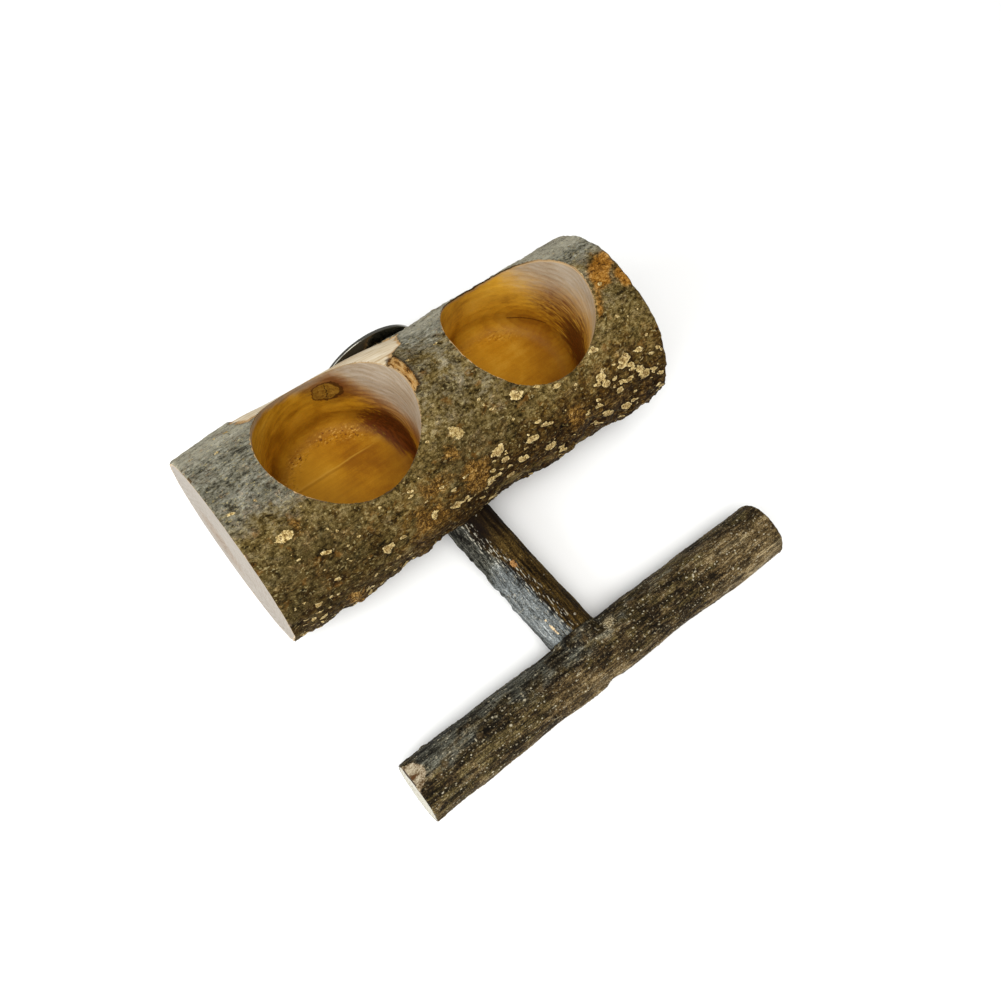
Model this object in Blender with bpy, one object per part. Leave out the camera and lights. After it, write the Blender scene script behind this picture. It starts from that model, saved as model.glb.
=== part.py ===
"""Feeding log for small birds, with a T-shaped perch and a cage clamp.

A bark-on length of branch lies on its side and has two feeding cups bored
into its top.  A thin branch stem, doweled into the front of the log, carries a
cross branch as the perch.  A hanger bolt, a large washer and a wing nut on the
back clamp the log to the bars of a cage.  Off the cage it stands on the
underside of the log and of the cross branch.

Modelled in metres, +Z up.  X runs along the log, -Y is the perch side and +Y is
the cage side.  Shapes are laid out around the log's axis, and one empty at the
end moves the whole assembly so that its footprint is centred on the origin.
"""

import bmesh
import bpy
from math import acos, atan2, cos, exp, hypot, pi, radians, sin
from mathutils import Matrix, Vector

# ----------------------------------------------------------------- dimensions
GAP = 0.0003                 # working clearance between touching pieces

LOG_LENGTH = 0.150
LOG_RADIUS_LEFT = 0.0335     # mean bark radius at the thick end (-X)
LOG_RADIUS_RIGHT = 0.0318    # and at the thin end (+X)
LOG_AXIS_HEIGHT = 0.0332     # log axis above the table
LOG_SIDES = 48
LOG_STATIONS = 21
SHOULDER = (0.0011, -0.050, 0.0155)   # swelling: height, place along X, width
WAIST = (0.0012, 0.007, 0.011)        # narrow place between the cups
BACK_SWELL = (0.0010, -0.020, 0.030)
FRONT_SWELL = (0.0035, 0.075, 0.025)  # flare towards the thin end
LEFT_SAW_Y = -0.0251         # slope of the left saw cut across Y and up Z
LEFT_SAW_Z = 0.0440

CUP_DIAMETER = 0.0493
CUP_X = (-0.0309, 0.0376)
CUP_Y = 0.0035               # both cups sit a little towards the cage
CUP_FLOOR_Z = -0.0130        # below the log's axis
CUP_CORNER = 0.0030          # radius between wall and floor
CUP_SIDES = 48

FLAT_Y = 0.03116             # planed seat on the back of the log
FLAT_X = (-0.031, 0.027)

BOLT_X, BOLT_Z = -0.0020, -0.0040
BOLT_RADIUS = 0.0029         # M6 thread, crest
BOLT_IN_WOOD = 0.0200
BOLT_FREE = 0.0106           # beyond the planed seat
BOLT_SIDES = 24

WASHER_RADIUS = 0.0202
WASHER_BORE = 0.0033
WASHER_THICK = 0.0012

NUT_BORE = 0.0032
NUT_BASE_RADIUS = 0.0060
NUT_TOP_RADIUS = 0.0046
NUT_HEIGHT = 0.0060
NUT_WING_REACH = 0.0120      # from the axis to a wing tip
NUT_WING_TOP = 0.0080
NUT_WING_ROUND = 0.0024
NUT_WING_THICK = 0.0020
NUT_REST_ANGLE = radians(-20)

STEM_AT_LOG_AXIS = Vector((-0.00716, 0.0, -0.0160))   # stem axis where y = 0
STEM_SIDEWAYS = 0.0768       # drift along X for each metre towards the front
STEM_DROP = 0.0800           # fall for each metre towards the front
STEM_RADIUS_LOG = 0.0082
STEM_RADIUS_PERCH = 0.0087
STEM_SIDES = 28

BAR_RADIUS = 0.0100
BAR_Y = -0.0908              # bar axis where x = 0
BAR_DRIFT = -0.0167          # change of y for each metre along X
BAR_X = (-0.0709, 0.0780)
BAR_SIDES = 32
BAR_STATIONS = 16
BAR_AXIS_Z = -LOG_AXIS_HEIGHT + BAR_RADIUS * cos(pi / BAR_SIDES)
BAR_KNOT = (0.0009, 0.006, 0.009)     # swelling on the front, at the joint

DOWEL_RADIUS = 0.0040
DOWEL_IN_LOG = 0.0140
DOWEL_IN_STEM = 0.0180

SCREW_RADIUS = 0.0020
SCREW_HEAD_RADIUS = 0.0040
SCREW_HEAD_HEIGHT = 0.0022
SCREW_LENGTH = 0.0400
SCREW_SUNK = 0.0013          # head below the bark


# -------------------------------------------------------------------- helpers
def clear_scene():
    for old in list(bpy.data.objects):
        bpy.data.objects.remove(old, do_unlink=True)


def material(name, colour, roughness, metallic=0.0):
    mat = bpy.data.materials.new(name)
    mat.use_nodes = True
    shader = mat.node_tree.nodes["Principled BSDF"]
    shader.inputs["Base Color"].default_value = (*colour, 1.0)
    shader.inputs["Roughness"].default_value = roughness
    shader.inputs["Metallic"].default_value = metallic
    mat.diffuse_color = (*colour, 1.0)
    return mat


def make(name, bm, mat, parent, place=None, sharp=40):
    bmesh.ops.remove_doubles(bm, verts=bm.verts, dist=1e-7)
    bmesh.ops.recalc_face_normals(bm, faces=bm.faces)
    mesh = bpy.data.meshes.new(name)
    bm.to_mesh(mesh)
    bm.free()
    mesh.shade_smooth()
    mesh.set_sharp_from_angle(angle=radians(sharp))
    if mat:
        mesh.materials.append(mat)
    obj = bpy.data.objects.new(name, mesh)
    bpy.context.scene.collection.objects.link(obj)
    obj.parent = parent
    if place is not None:
        obj.matrix_local = place
    return obj


def guide(name, bm, parent, place=None):
    """A cutting tool: kept as a wire guide, not a piece of the object."""
    obj = make(name, bm, None, parent, place)
    obj.hide_render = True
    obj.display_type = "WIRE"
    return obj


def boolean(obj, tool, operation="DIFFERENCE"):
    mod = obj.modifiers.new(f"{operation.lower()} {tool.name}", "BOOLEAN")
    mod.object = tool
    mod.operation = operation
    mod.solver = "EXACT"


def loft(rings):
    """A closed skin through rings of points, capped at both ends."""
    bm = bmesh.new()
    rows = [[bm.verts.new(p) for p in ring] for ring in rings]
    n = len(rows[0])
    for a, b in zip(rows, rows[1:]):
        for i in range(n):
            bm.faces.new((a[i], a[(i + 1) % n], b[(i + 1) % n], b[i]))
    bm.faces.new(rows[0])
    bm.faces.new(list(reversed(rows[-1])))
    return bm


def turned(profile, sides):
    """A solid of revolution about +Z from (radius, height) pairs, bottom to top."""
    bm = bmesh.new()
    rows = []
    for r, z in profile:
        if r < 1e-9:
            rows.append([bm.verts.new((0, 0, z))])
        else:
            rows.append([
                bm.verts.new((r * cos(2 * pi * i / sides), r * sin(2 * pi * i / sides), z))
                for i in range(sides)
            ])
    for a, b in zip(rows, rows[1:]):
        for i in range(sides):
            j = (i + 1) % sides
            if len(a) == 1:
                bm.faces.new((a[0], b[j], b[i]))
            elif len(b) == 1:
                bm.faces.new((a[i], a[j], b[0]))
            else:
                bm.faces.new((a[i], a[j], b[j], b[i]))
    if len(rows[0]) > 1:
        bm.faces.new(list(reversed(rows[0])))
    if len(rows[-1]) > 1:
        bm.faces.new(rows[-1])
    return bm


def ring_turned(profile, sides):
    """A ring turned about +Z from a closed loop of (radius, height) pairs."""
    bm = bmesh.new()
    rows = [
        [
            bm.verts.new((r * cos(2 * pi * i / sides), r * sin(2 * pi * i / sides), z))
            for i in range(sides)
        ]
        for r, z in profile
    ]
    for a, b in zip(rows, rows[1:] + rows[:1]):
        for i in range(sides):
            j = (i + 1) % sides
            bm.faces.new((a[i], a[j], b[j], b[i]))
    return bm


def block(low, high):
    bm = bmesh.new()
    bmesh.ops.create_cube(bm, size=1.0)
    size = Vector(high) - Vector(low)
    middle = (Vector(high) + Vector(low)) / 2
    bmesh.ops.scale(bm, vec=size, verts=bm.verts)
    bmesh.ops.translate(bm, vec=middle, verts=bm.verts)
    return bm


def swell(spec, x):
    height, place, width = spec
    return height * exp(-(((x - place) / width) ** 2))


def smooth(value):
    t = min(1.0, max(0.0, value))
    return t * t * (3 - 2 * t)


def along(start, direction):
    """Places a piece whose own +Z runs along direction, with its base at start."""
    turn = Vector(direction).to_track_quat("Z", "Y").to_matrix().to_4x4()
    return Matrix.Translation(start) @ turn


# ------------------------------------------------------- grown shapes: the log
def log_radius(x, angle):
    """Bark radius at x, at an angle from +Y (back) turning up towards +Z."""
    t = x / LOG_LENGTH + 0.5
    r = LOG_RADIUS_LEFT + (LOG_RADIUS_RIGHT - LOG_RADIUS_LEFT) * t
    r += swell(SHOULDER, x) - swell(WAIST, x)
    r += swell(BACK_SWELL, x) * max(0.0, cos(angle - radians(30)))
    r += swell(FRONT_SWELL, x) * max(0.0, cos(angle - radians(198)))
    under = smooth((-sin(angle) - 0.80) / 0.18)
    standing = LOG_AXIS_HEIGHT / cos(pi / LOG_SIDES)
    return r * (1 - under) + standing * under


def log_rings(extra=0.0):
    rings = []
    for k in range(LOG_STATIONS):
        x = LOG_LENGTH * (k / (LOG_STATIONS - 1) - 0.5)
        slant = max(0.0, -2 * x / LOG_LENGTH)
        ring = []
        for i in range(LOG_SIDES):
            angle = 2 * pi * (i + 0.5) / LOG_SIDES
            r = log_radius(x, angle) + extra
            y, z = r * cos(angle), r * sin(angle)
            ring.append((x + slant * (LEFT_SAW_Y * y + LEFT_SAW_Z * z), y, z))
        rings.append(ring)
    return rings


def cup_profile():
    """Cup bored from above: floor, rounded corner, straight wall."""
    radius = CUP_DIAMETER / 2
    profile = [(0.0, CUP_FLOOR_Z), (radius - CUP_CORNER, CUP_FLOOR_Z)]
    steps = 4
    for k in range(1, steps + 1):
        a = 0.5 * pi * k / steps
        profile.append((
            radius - CUP_CORNER + CUP_CORNER * sin(a),
            CUP_FLOOR_Z + CUP_CORNER * (1 - cos(a)),
        ))
    profile.append((radius, 0.045))
    profile.append((0.0, 0.045))
    return profile


# ----------------------------------------------------- grown shapes: the perch
def bar_radius(x, angle):
    r = BAR_RADIUS
    r += swell(BAR_KNOT, x) * max(0.0, cos(angle - pi)) ** 2
    return r


def bar_rings(extra=0.0):
    rings = []
    for k in range(BAR_STATIONS):
        x = BAR_X[0] + (BAR_X[1] - BAR_X[0]) * k / (BAR_STATIONS - 1)
        ring = []
        for i in range(BAR_SIDES):
            angle = 2 * pi * (i + 0.5) / BAR_SIDES
            r = bar_radius(x, angle) + extra
            ring.append((x, BAR_Y + BAR_DRIFT * x + r * cos(angle), BAR_AXIS_Z + r * sin(angle)))
        rings.append(ring)
    return rings


STEM_DIRECTION = Vector((STEM_SIDEWAYS, -1.0, -STEM_DROP)).normalized()


def stem_point(y):
    """Point of the stem's axis at a given y."""
    return STEM_AT_LOG_AXIS + STEM_DIRECTION * (-y / -STEM_DIRECTION.y)


def stem_skin():
    first, last = -0.015, BAR_Y
    length = (stem_point(last) - stem_point(first)).length
    profile = []
    stations = 10
    for k in range(stations):
        t = k / (stations - 1)
        radius = STEM_RADIUS_LOG + (STEM_RADIUS_PERCH - STEM_RADIUS_LOG) * t
        profile.append((radius, length * t))
    return turned(profile, STEM_SIDES), along(stem_point(first), STEM_DIRECTION)


# ------------------------------------------------------------------- hardware
def wing(side):
    """One wing: a flat ear around two round corners, in the plane of the axis."""
    inner = (0.0050, 0.0030)
    outer = (NUT_WING_REACH - NUT_WING_ROUND, NUT_WING_TOP - NUT_WING_ROUND)
    tilt = atan2(outer[1] - inner[1], outer[0] - inner[0])
    outline = []
    for centre, start in ((outer, tilt - pi / 2), (inner, tilt + pi / 2)):
        for k in range(9):
            a = start + pi * k / 8
            outline.append((
                centre[0] + NUT_WING_ROUND * cos(a),
                centre[1] + NUT_WING_ROUND * sin(a),
            ))
    bm = bmesh.new()
    half = NUT_WING_THICK / 2
    near = [bm.verts.new((side * u, -half, v)) for u, v in outline]
    far = [bm.verts.new((side * u, half, v)) for u, v in outline]
    n = len(outline)
    bm.faces.new(near)
    bm.faces.new(list(reversed(far)))
    for i in range(n):
        j = (i + 1) % n
        bm.faces.new((near[j], near[i], far[i], far[j]))
    return bm


def main():
    clear_scene()

    bark = material("log bark", (0.205, 0.175, 0.115), 0.85)
    branch = material("stem bark", (0.150, 0.130, 0.095), 0.85)
    dark_branch = material("perch bark", (0.105, 0.088, 0.060), 0.85)
    beech = material("dowel beech", (0.640, 0.450, 0.260), 0.60)
    screw_steel = material("screw steel", (0.560, 0.540, 0.480), 0.35, 1.0)
    bolt_steel = material("bolt steel", (0.580, 0.580, 0.570), 0.32, 1.0)
    washer_steel = material("washer steel", (0.620, 0.620, 0.610), 0.22, 1.0)
    nut_steel = material("nut steel", (0.580, 0.580, 0.570), 0.35, 1.0)

    stand = bpy.data.objects.new("stand_origin", None)
    bpy.context.scene.collection.objects.link(stand)

    # log with its two cups, planed seat, bolt hole and dowel hole
    log = make("feeder_log", loft(log_rings()), bark, stand)
    for x, side in zip(CUP_X, ("left", "right")):
        tool = guide(f"guide_cup_{side}", turned(cup_profile(), CUP_SIDES), stand,
                     Matrix.Translation((x, CUP_Y, 0)))
        boolean(log, tool)
    seat = guide("guide_seat", block((FLAT_X[0], FLAT_Y, -0.030), (FLAT_X[1], 0.050, 0.030)), stand)
    boolean(log, seat)

    to_cage = Vector((0, 1, 0))
    bolt_tip_y = FLAT_Y - BOLT_IN_WOOD
    hole = guide(
        "guide_bolt_hole",
        turned([(0, 0), (BOLT_RADIUS + GAP, 0), (BOLT_RADIUS + GAP, 0.04), (0, 0.04)], BOLT_SIDES),
        stand,
        along(Vector((BOLT_X, bolt_tip_y - GAP, BOLT_Z)), to_cage),
    )
    boolean(log, hole)

    # dowel between the log and the stem, on the stem's axis
    root_y = -0.0275
    dowel_length = DOWEL_IN_LOG + DOWEL_IN_STEM
    dowel_start = stem_point(root_y) - STEM_DIRECTION * DOWEL_IN_LOG
    edge = 0.0008
    dowel_profile = [
        (0, 0), (DOWEL_RADIUS - edge, 0), (DOWEL_RADIUS, edge),
        (DOWEL_RADIUS, dowel_length - edge), (DOWEL_RADIUS - edge, dowel_length), (0, dowel_length),
    ]
    make("stem_dowel", turned(dowel_profile, 24), beech, stand, along(dowel_start, STEM_DIRECTION))
    dowel_hole = guide(
        "guide_dowel_hole",
        turned([(0, 0), (DOWEL_RADIUS + GAP, 0), (DOWEL_RADIUS + GAP, dowel_length + 2 * GAP),
                (0, dowel_length + 2 * GAP)], 24),
        stand,
        along(dowel_start - STEM_DIRECTION * GAP, STEM_DIRECTION),
    )
    boolean(log, dowel_hole)

    # stem, coped to the log at one end and to the cross bar at the other
    skin, place = stem_skin()
    stem = make("perch_stem", skin, branch, stand, place)
    boolean(stem, guide("guide_log_cope", loft(log_rings(GAP)), stand))
    boolean(stem, guide("guide_bar_cope", loft(bar_rings(GAP)), stand))
    boolean(stem, dowel_hole)

    # cross bar and its screw, driven from the front into the stem
    bar = make("perch_crossbar", loft(bar_rings()), dark_branch, stand)
    inwards = -STEM_DIRECTION
    bar_front = stem_point(BAR_Y) + STEM_DIRECTION * BAR_RADIUS
    head_top = bar_front + inwards * SCREW_SUNK
    cone = SCREW_HEAD_HEIGHT
    tip = SCREW_LENGTH
    screw_profile = [
        (0, 0), (SCREW_HEAD_RADIUS, 0), (SCREW_HEAD_RADIUS, 0.0003), (SCREW_RADIUS, cone),
        (SCREW_RADIUS, tip - 0.005), (0.0003, tip), (0, tip),
    ]
    screw = make("crossbar_screw", turned(screw_profile, 24), screw_steel, stand, along(head_top, inwards))
    for k in range(2):
        turn = Matrix.Rotation(k * pi / 2, 4, "Z")
        slot = guide(f"guide_screw_slot_{k}", block((-0.0021, -0.00045, -0.001), (0.0021, 0.00045, 0.0013)),
                     stand, along(head_top, inwards) @ turn)
        boolean(screw, slot)
    wide = SCREW_HEAD_RADIUS + GAP
    thin = SCREW_RADIUS + GAP
    screw_hole = guide(
        "guide_screw_hole",
        turned([(0, -0.006), (wide, -0.006), (wide, 0.0003 + GAP), (thin, cone + GAP),
                (thin, tip - 0.005 + GAP), (0.0006, tip + GAP), (0, tip + GAP)], 24),
        stand,
        along(head_top, inwards),
    )
    boolean(bar, screw_hole)
    boolean(stem, screw_hole)

    # hanger bolt: wood end in the log, machine thread out of the back
    bolt_length = BOLT_IN_WOOD + BOLT_FREE
    bolt_profile = [
        (0, 0), (0.0004, 0), (BOLT_RADIUS, 0.006), (BOLT_RADIUS, bolt_length - 0.0007),
        (BOLT_RADIUS - 0.0007, bolt_length), (0, bolt_length),
    ]
    make("hanger_bolt", turned(bolt_profile, BOLT_SIDES), bolt_steel, stand,
         along(Vector((BOLT_X, bolt_tip_y, BOLT_Z)), to_cage))

    # washer and wing nut, each with its origin on the bolt's axis
    washer_y = FLAT_Y + GAP
    bevel = 0.0002
    t = WASHER_THICK
    washer_profile = [
        (WASHER_BORE, bevel), (WASHER_BORE + bevel, 0), (WASHER_RADIUS - bevel, 0), (WASHER_RADIUS, bevel),
        (WASHER_RADIUS, t - bevel), (WASHER_RADIUS - bevel, t), (WASHER_BORE + bevel, t), (WASHER_BORE, t - bevel),
    ]
    make("clamp_washer", ring_turned(washer_profile, 64), washer_steel, stand,
         along(Vector((BOLT_X, washer_y, BOLT_Z)), to_cage))

    nut_y = washer_y + WASHER_THICK + GAP
    nut_place = along(Vector((BOLT_X, nut_y, BOLT_Z)), to_cage) @ Matrix.Rotation(NUT_REST_ANGLE, 4, "Z")
    nut_profile = [
        (0, 0), (NUT_BASE_RADIUS - 0.0004, 0), (NUT_BASE_RADIUS, 0.0004), (NUT_BASE_RADIUS, 0.0012),
        (NUT_TOP_RADIUS, NUT_HEIGHT - 0.0004), (NUT_TOP_RADIUS - 0.0004, NUT_HEIGHT), (0, NUT_HEIGHT),
    ]
    nut = make("wing_nut", turned(nut_profile, 32), nut_steel, stand, nut_place)
    for side, word in ((1, "a"), (-1, "b")):
        ear = guide(f"guide_wing_{word}", wing(side), stand, nut_place)
        boolean(nut, ear, "UNION")
    nut_hole = guide("guide_nut_bore", turned([(0, -0.002), (NUT_BORE, -0.002), (NUT_BORE, 0.012), (0, 0.012)], BOLT_SIDES),
                     stand, nut_place)
    boolean(nut, nut_hole)

    # centre the footprint on the origin, with the underside at z = 0
    bpy.context.view_layer.update()
    depsgraph = bpy.context.evaluated_depsgraph_get()
    low, high = Vector((1e9,) * 3), Vector((-1e9,) * 3)
    for obj in bpy.context.scene.objects:
        if obj.type != "MESH" or obj.hide_render:
            continue
        solid = obj.evaluated_get(depsgraph)
        for vertex in solid.data.vertices:
            p = solid.matrix_world @ vertex.co
            low = Vector(map(min, low, p))
            high = Vector(map(max, high, p))
    stand.location = (-(low.x + high.x) / 2, -(low.y + high.y) / 2, -low.z)
    bpy.context.view_layer.update()


main()
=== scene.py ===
import math
import bpy
import bmesh
import numpy as np
from mathutils import Matrix, Vector


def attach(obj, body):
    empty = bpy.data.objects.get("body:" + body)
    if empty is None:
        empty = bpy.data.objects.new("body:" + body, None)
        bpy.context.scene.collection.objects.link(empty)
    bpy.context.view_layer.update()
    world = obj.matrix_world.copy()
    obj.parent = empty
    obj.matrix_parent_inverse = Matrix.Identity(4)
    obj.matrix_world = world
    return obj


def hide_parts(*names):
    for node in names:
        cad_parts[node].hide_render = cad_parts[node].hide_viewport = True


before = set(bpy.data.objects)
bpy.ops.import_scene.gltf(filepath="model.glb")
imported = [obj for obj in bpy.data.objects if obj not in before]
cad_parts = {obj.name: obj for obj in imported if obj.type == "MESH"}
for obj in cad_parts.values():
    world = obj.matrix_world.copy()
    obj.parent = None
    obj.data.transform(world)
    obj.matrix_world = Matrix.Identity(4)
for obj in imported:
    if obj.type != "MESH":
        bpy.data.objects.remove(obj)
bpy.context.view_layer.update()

# ---------------------------------------------------------------- frame
# Everything is worked out in millimetres about the middle of the log and is
# moved to the part's own frame, in metres, when a mesh is made.
MM = 0.001
SHIFT = np.array([-0.652, 30.147, 33.208])
FLOOR_Z = -33.2

# Camera: place, axes (right, up, back) and focal length in pixels of a 1001 frame
CAM = np.array([-79.0607, -109.4440, 255.3816])
AXES = np.array([[0.78325349, -0.61767662, 0.07063687],
                 [0.54803171, 0.73961669, 0.39067683],
                 [-0.29355615, -0.26728775, 0.91781373]])
FOCAL = 859.166
FRAME_PX = 1001
PX_PER_MM = 2.9

# Log
LOG_LENGTH = 150.0
LOG_R_LEFT, LOG_R_RIGHT = 33.5, 31.8
LEFT_SAW_Y, LEFT_SAW_Z = -0.0251, 0.0440
CUP_R, CUP_FLOOR, CUP_CORNER = 24.65, -13.0, 5.5
CUP_X, CUP_Y = (-30.9, 37.6), 3.5
SEAT_Y, SEAT_X = 31.16, (-31.0, 27.0)
BOLT_X, BOLT_Z, BOLT_R = -2.0, -4.0, 2.9
BARK_THICK = 0.85
PITH = (9.0, -9.0)          # y, z of the log's first growth ring
RIDGE_Y = 11.9              # a lifted fibre along the left cup's floor

# Stem and crossbar
STEM_P = np.array([-7.16, 0.0, -16.0])
STEM_U = np.array([0.0768, -1.0, -0.08]); STEM_U = STEM_U / np.linalg.norm(STEM_U)
STEM_R0, STEM_R1 = 8.2, 8.7
BAR_R, BAR_Y0, BAR_SLOPE = 10.0, -90.8, -0.0167
BAR_X0, BAR_X1 = -70.9, 78.0
BAR_Z = FLOOR_Z + BAR_R * math.cos(math.pi / 32)


# ---------------------------------------------------------------- numbers
def smooth(v, lo, hi):
    t = np.clip((v - lo) / (hi - lo), 0.0, 1.0)
    return t * t * (3 - 2 * t)


def swell(x, h, p, w):
    return h * np.exp(-((x - p) / w) ** 2)


def field(seed, nx, na, sx, sa, lx, la):
    """Seeded smooth noise, unit spread, on a grid that wraps round: steps sx, sa and grain lx, la in mm."""
    w = np.random.default_rng(seed).standard_normal((nx, na))
    fx = np.fft.fftfreq(nx, sx)[:, None]
    fa = np.fft.fftfreq(na, sa)[None, :]
    k = np.exp(-2 * math.pi ** 2 * ((fx * lx) ** 2 + (fa * la) ** 2))
    f = np.fft.ifft2(np.fft.fft2(w) * k).real
    return (f - f.mean()) / f.std()


def sample(grid, x, a, x0, x1):
    """Reads a grid over x and angle at any points."""
    nx, na = grid.shape
    u = np.clip((x - x0) / (x1 - x0) * (nx - 1), 0, nx - 1.001)
    v = np.mod(a / (2 * math.pi) * na, na)
    i, j = u.astype(int), v.astype(int) % na
    fu, fv = u - i, v - np.floor(v)
    j1 = (j + 1) % na
    return ((grid[i, j] * (1 - fv) + grid[i, j1] * fv) * (1 - fu)
            + (grid[i + 1, j] * (1 - fv) + grid[i + 1, j1] * fv) * fu)


def stamp(grid, wobble, xs, sv, span, cx, cs, rx, rs, tilt=0.0):
    """Raises grid to 1 at a spot's middle, 0 at its ragged edge, falling on outside."""
    reach = 2.0 * max(rx, rs)
    ii = np.nonzero(np.abs(xs - cx) < reach)[0]
    ds = (sv - cs + span / 2) % span - span / 2
    jj = np.nonzero(np.abs(ds) < reach)[0]
    if not len(ii) or not len(jj):
        return
    dx, dy = np.meshgrid(xs[ii] - cx, ds[jj], indexing="ij")
    c, s = math.cos(tilt), math.sin(tilt)
    d = np.hypot((dx * c + dy * s) / rx, (dy * c - dx * s) / rs)
    d = d * (1 + 0.20 * wobble[np.ix_(ii, jj)])
    part = grid[np.ix_(ii, jj)]
    grid[np.ix_(ii, jj)] = np.maximum(part, 1 - d)


def outline(points, X, S):
    """Signed distance in mm to a closed outline on the unrolled surface, positive inside."""
    best = np.full(X.shape, 1e9)
    inside = np.zeros(X.shape, bool)
    n = len(points)
    for k in range(n):
        (xa, ya), (xb, yb) = points[k], points[(k + 1) % n]
        ex, ey = xb - xa, yb - ya
        t = np.clip(((X - xa) * ex + (S - ya) * ey) / max(ex * ex + ey * ey, 1e-9), 0, 1)
        best = np.minimum(best, np.hypot(X - xa - t * ex, S - ya - t * ey))
        if ya != yb:
            cross = (ya > S) != (yb > S)
            inside ^= cross & (X < ex * (S - ya) / ey + xa)
    return np.where(inside, best, -best)


def ray(px, py):
    d = np.array([(px - 500.5) / FOCAL, -(py - 500.5) / FOCAL, -1.0]) @ AXES
    return d / np.linalg.norm(d)


# ---------------------------------------------------------------- surfaces
def log_radius(x, a):
    r = LOG_R_LEFT + (LOG_R_RIGHT - LOG_R_LEFT) * (x / LOG_LENGTH + 0.5)
    r = r + swell(x, 1.1, -50, 15.5) - swell(x, 1.2, 7, 11)
    r = r + swell(x, 1.0, -20, 30) * np.maximum(0, np.cos(a - math.radians(30)))
    r = r + swell(x, 3.5, 75, 25) * np.maximum(0, np.cos(a - math.radians(198)))
    under = smooth(-np.sin(a), 0.80, 0.98)
    return r * (1 - under) + 33.2 * under


def left_saw(x, y, z):
    return np.maximum(0, -2 * x / LOG_LENGTH) * (LEFT_SAW_Y * y + LEFT_SAW_Z * z)


def on_log(px, py):
    """The log's (x, angle) under a pixel, and how squarely it faces the camera."""
    d = ray(px, py)
    t = np.arange(120, 480, 0.25)
    p = CAM + t[:, None] * d
    a = np.mod(np.arctan2(p[:, 2], p[:, 1]), 2 * math.pi)
    gap = np.hypot(p[:, 1], p[:, 2]) - log_radius(np.clip(p[:, 0], -75, 75), a)
    hit = np.nonzero(gap < 0)[0]
    k = hit[0] if len(hit) else int(np.argmin(gap))
    n = np.array([0, math.cos(a[k]), math.sin(a[k])])
    return float(p[k, 0]), float(a[k]), float(max(0.3, -(n @ d)))


def bar_axis(x):
    return BAR_Y0 + BAR_SLOPE * x


def on_bar(px, py):
    d = ray(px, py)
    t = np.arange(200, 520, 0.2)
    p = CAM + t[:, None] * d
    y, z = p[:, 1] - bar_axis(p[:, 0]), p[:, 2] - BAR_Z
    gap = np.hypot(y, z) - BAR_R
    hit = np.nonzero(gap < 0)[0]
    k = hit[0] if len(hit) else int(np.argmin(gap))
    a = math.atan2(z[k], y[k]) % (2 * math.pi)
    n = np.array([0, math.cos(a), math.sin(a)])
    return float(p[k, 0]), a, float(max(0.3, -(n @ d)))


STEM_E1 = np.cross(STEM_U, [0, 0, 1.0]); STEM_E1 /= np.linalg.norm(STEM_E1)
STEM_E2 = np.cross(STEM_U, STEM_E1)


def on_stem(px, py):
    d = ray(px, py)
    t = np.arange(200, 520, 0.2)
    p = CAM + t[:, None] * d - STEM_P
    h = p @ STEM_U
    gap = np.hypot(p @ STEM_E1, p @ STEM_E2) - (STEM_R0 + STEM_R1) / 2
    hit = np.nonzero(gap < 0)[0]
    k = hit[0] if len(hit) else int(np.argmin(gap))
    a = math.atan2(p[k] @ STEM_E2, p[k] @ STEM_E1) % (2 * math.pi)
    n = math.cos(a) * STEM_E1 + math.sin(a) * STEM_E2
    return float(h[k]), a, float(max(0.3, -(n @ d)))


# ---------------------------------------------------------------- mesh making
def make(name, verts, faces):
    me = bpy.data.meshes.new(name)
    me.from_pydata(((np.asarray(verts) + SHIFT) * MM).tolist(), [], faces)
    me.update()
    ob = bpy.data.objects.new(name, me)
    bpy.context.scene.collection.objects.link(ob)
    return ob


def tube(name, rings, first, last):
    """A closed tube: rings (n, m, 3) turn counter-clockwise about the way they run, first and last close its ends."""
    n, m = rings.shape[:2]
    v = np.concatenate([rings.reshape(-1, 3), [first], [last]])
    i, j = np.meshgrid(np.arange(n - 1), np.arange(m), indexing="ij")
    k = (j + 1) % m
    quads = np.stack([i * m + j, i * m + k, (i + 1) * m + k, (i + 1) * m + j], -1).reshape(-1, 4).tolist()
    c0, c1, e = n * m, n * m + 1, (n - 1) * m
    quads += [[c0, (q + 1) % m, q] for q in range(m)]
    quads += [[c1, e + q, e + (q + 1) % m] for q in range(m)]
    return make(name, v, quads)


def ring_body(name, loops):
    """A closed ring: loops (n, m, 3) with both ways wrapping round."""
    n, m = loops.shape[:2]
    i, j = np.meshgrid(np.arange(n), np.arange(m), indexing="ij")
    i1, j1 = (i + 1) % n, (j + 1) % m
    quads = np.stack([i * m + j, i * m + j1, i1 * m + j1, i1 * m + j], -1).reshape(-1, 4).tolist()
    return make(name, loops.reshape(-1, 3), quads)


def outward(ob):
    bm = bmesh.new(); bm.from_mesh(ob.data)
    bmesh.ops.recalc_face_normals(bm, faces=bm.faces)
    bm.to_mesh(ob.data); bm.free()
    return ob


def cut(ob, *cutters, how="DIFFERENCE"):
    """Cuts (or joins) solids and keeps the plain mesh."""
    for c in cutters:
        mod = ob.modifiers.new("cut", "BOOLEAN")
        mod.operation, mod.solver, mod.object = how, "MANIFOLD", c
    settle(ob)
    for c in cutters:
        me = c.data
        bpy.data.objects.remove(c)
        bpy.data.meshes.remove(me)
    return ob


def settle(ob):
    """Turns an object's modifiers into its mesh."""
    bpy.context.view_layer.update()
    dg = bpy.context.evaluated_depsgraph_get()
    me = bpy.data.meshes.new_from_object(ob.evaluated_get(dg))
    old = ob.data
    ob.modifiers.clear()
    ob.data = me
    bpy.data.meshes.remove(old)
    me.name = ob.name


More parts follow.
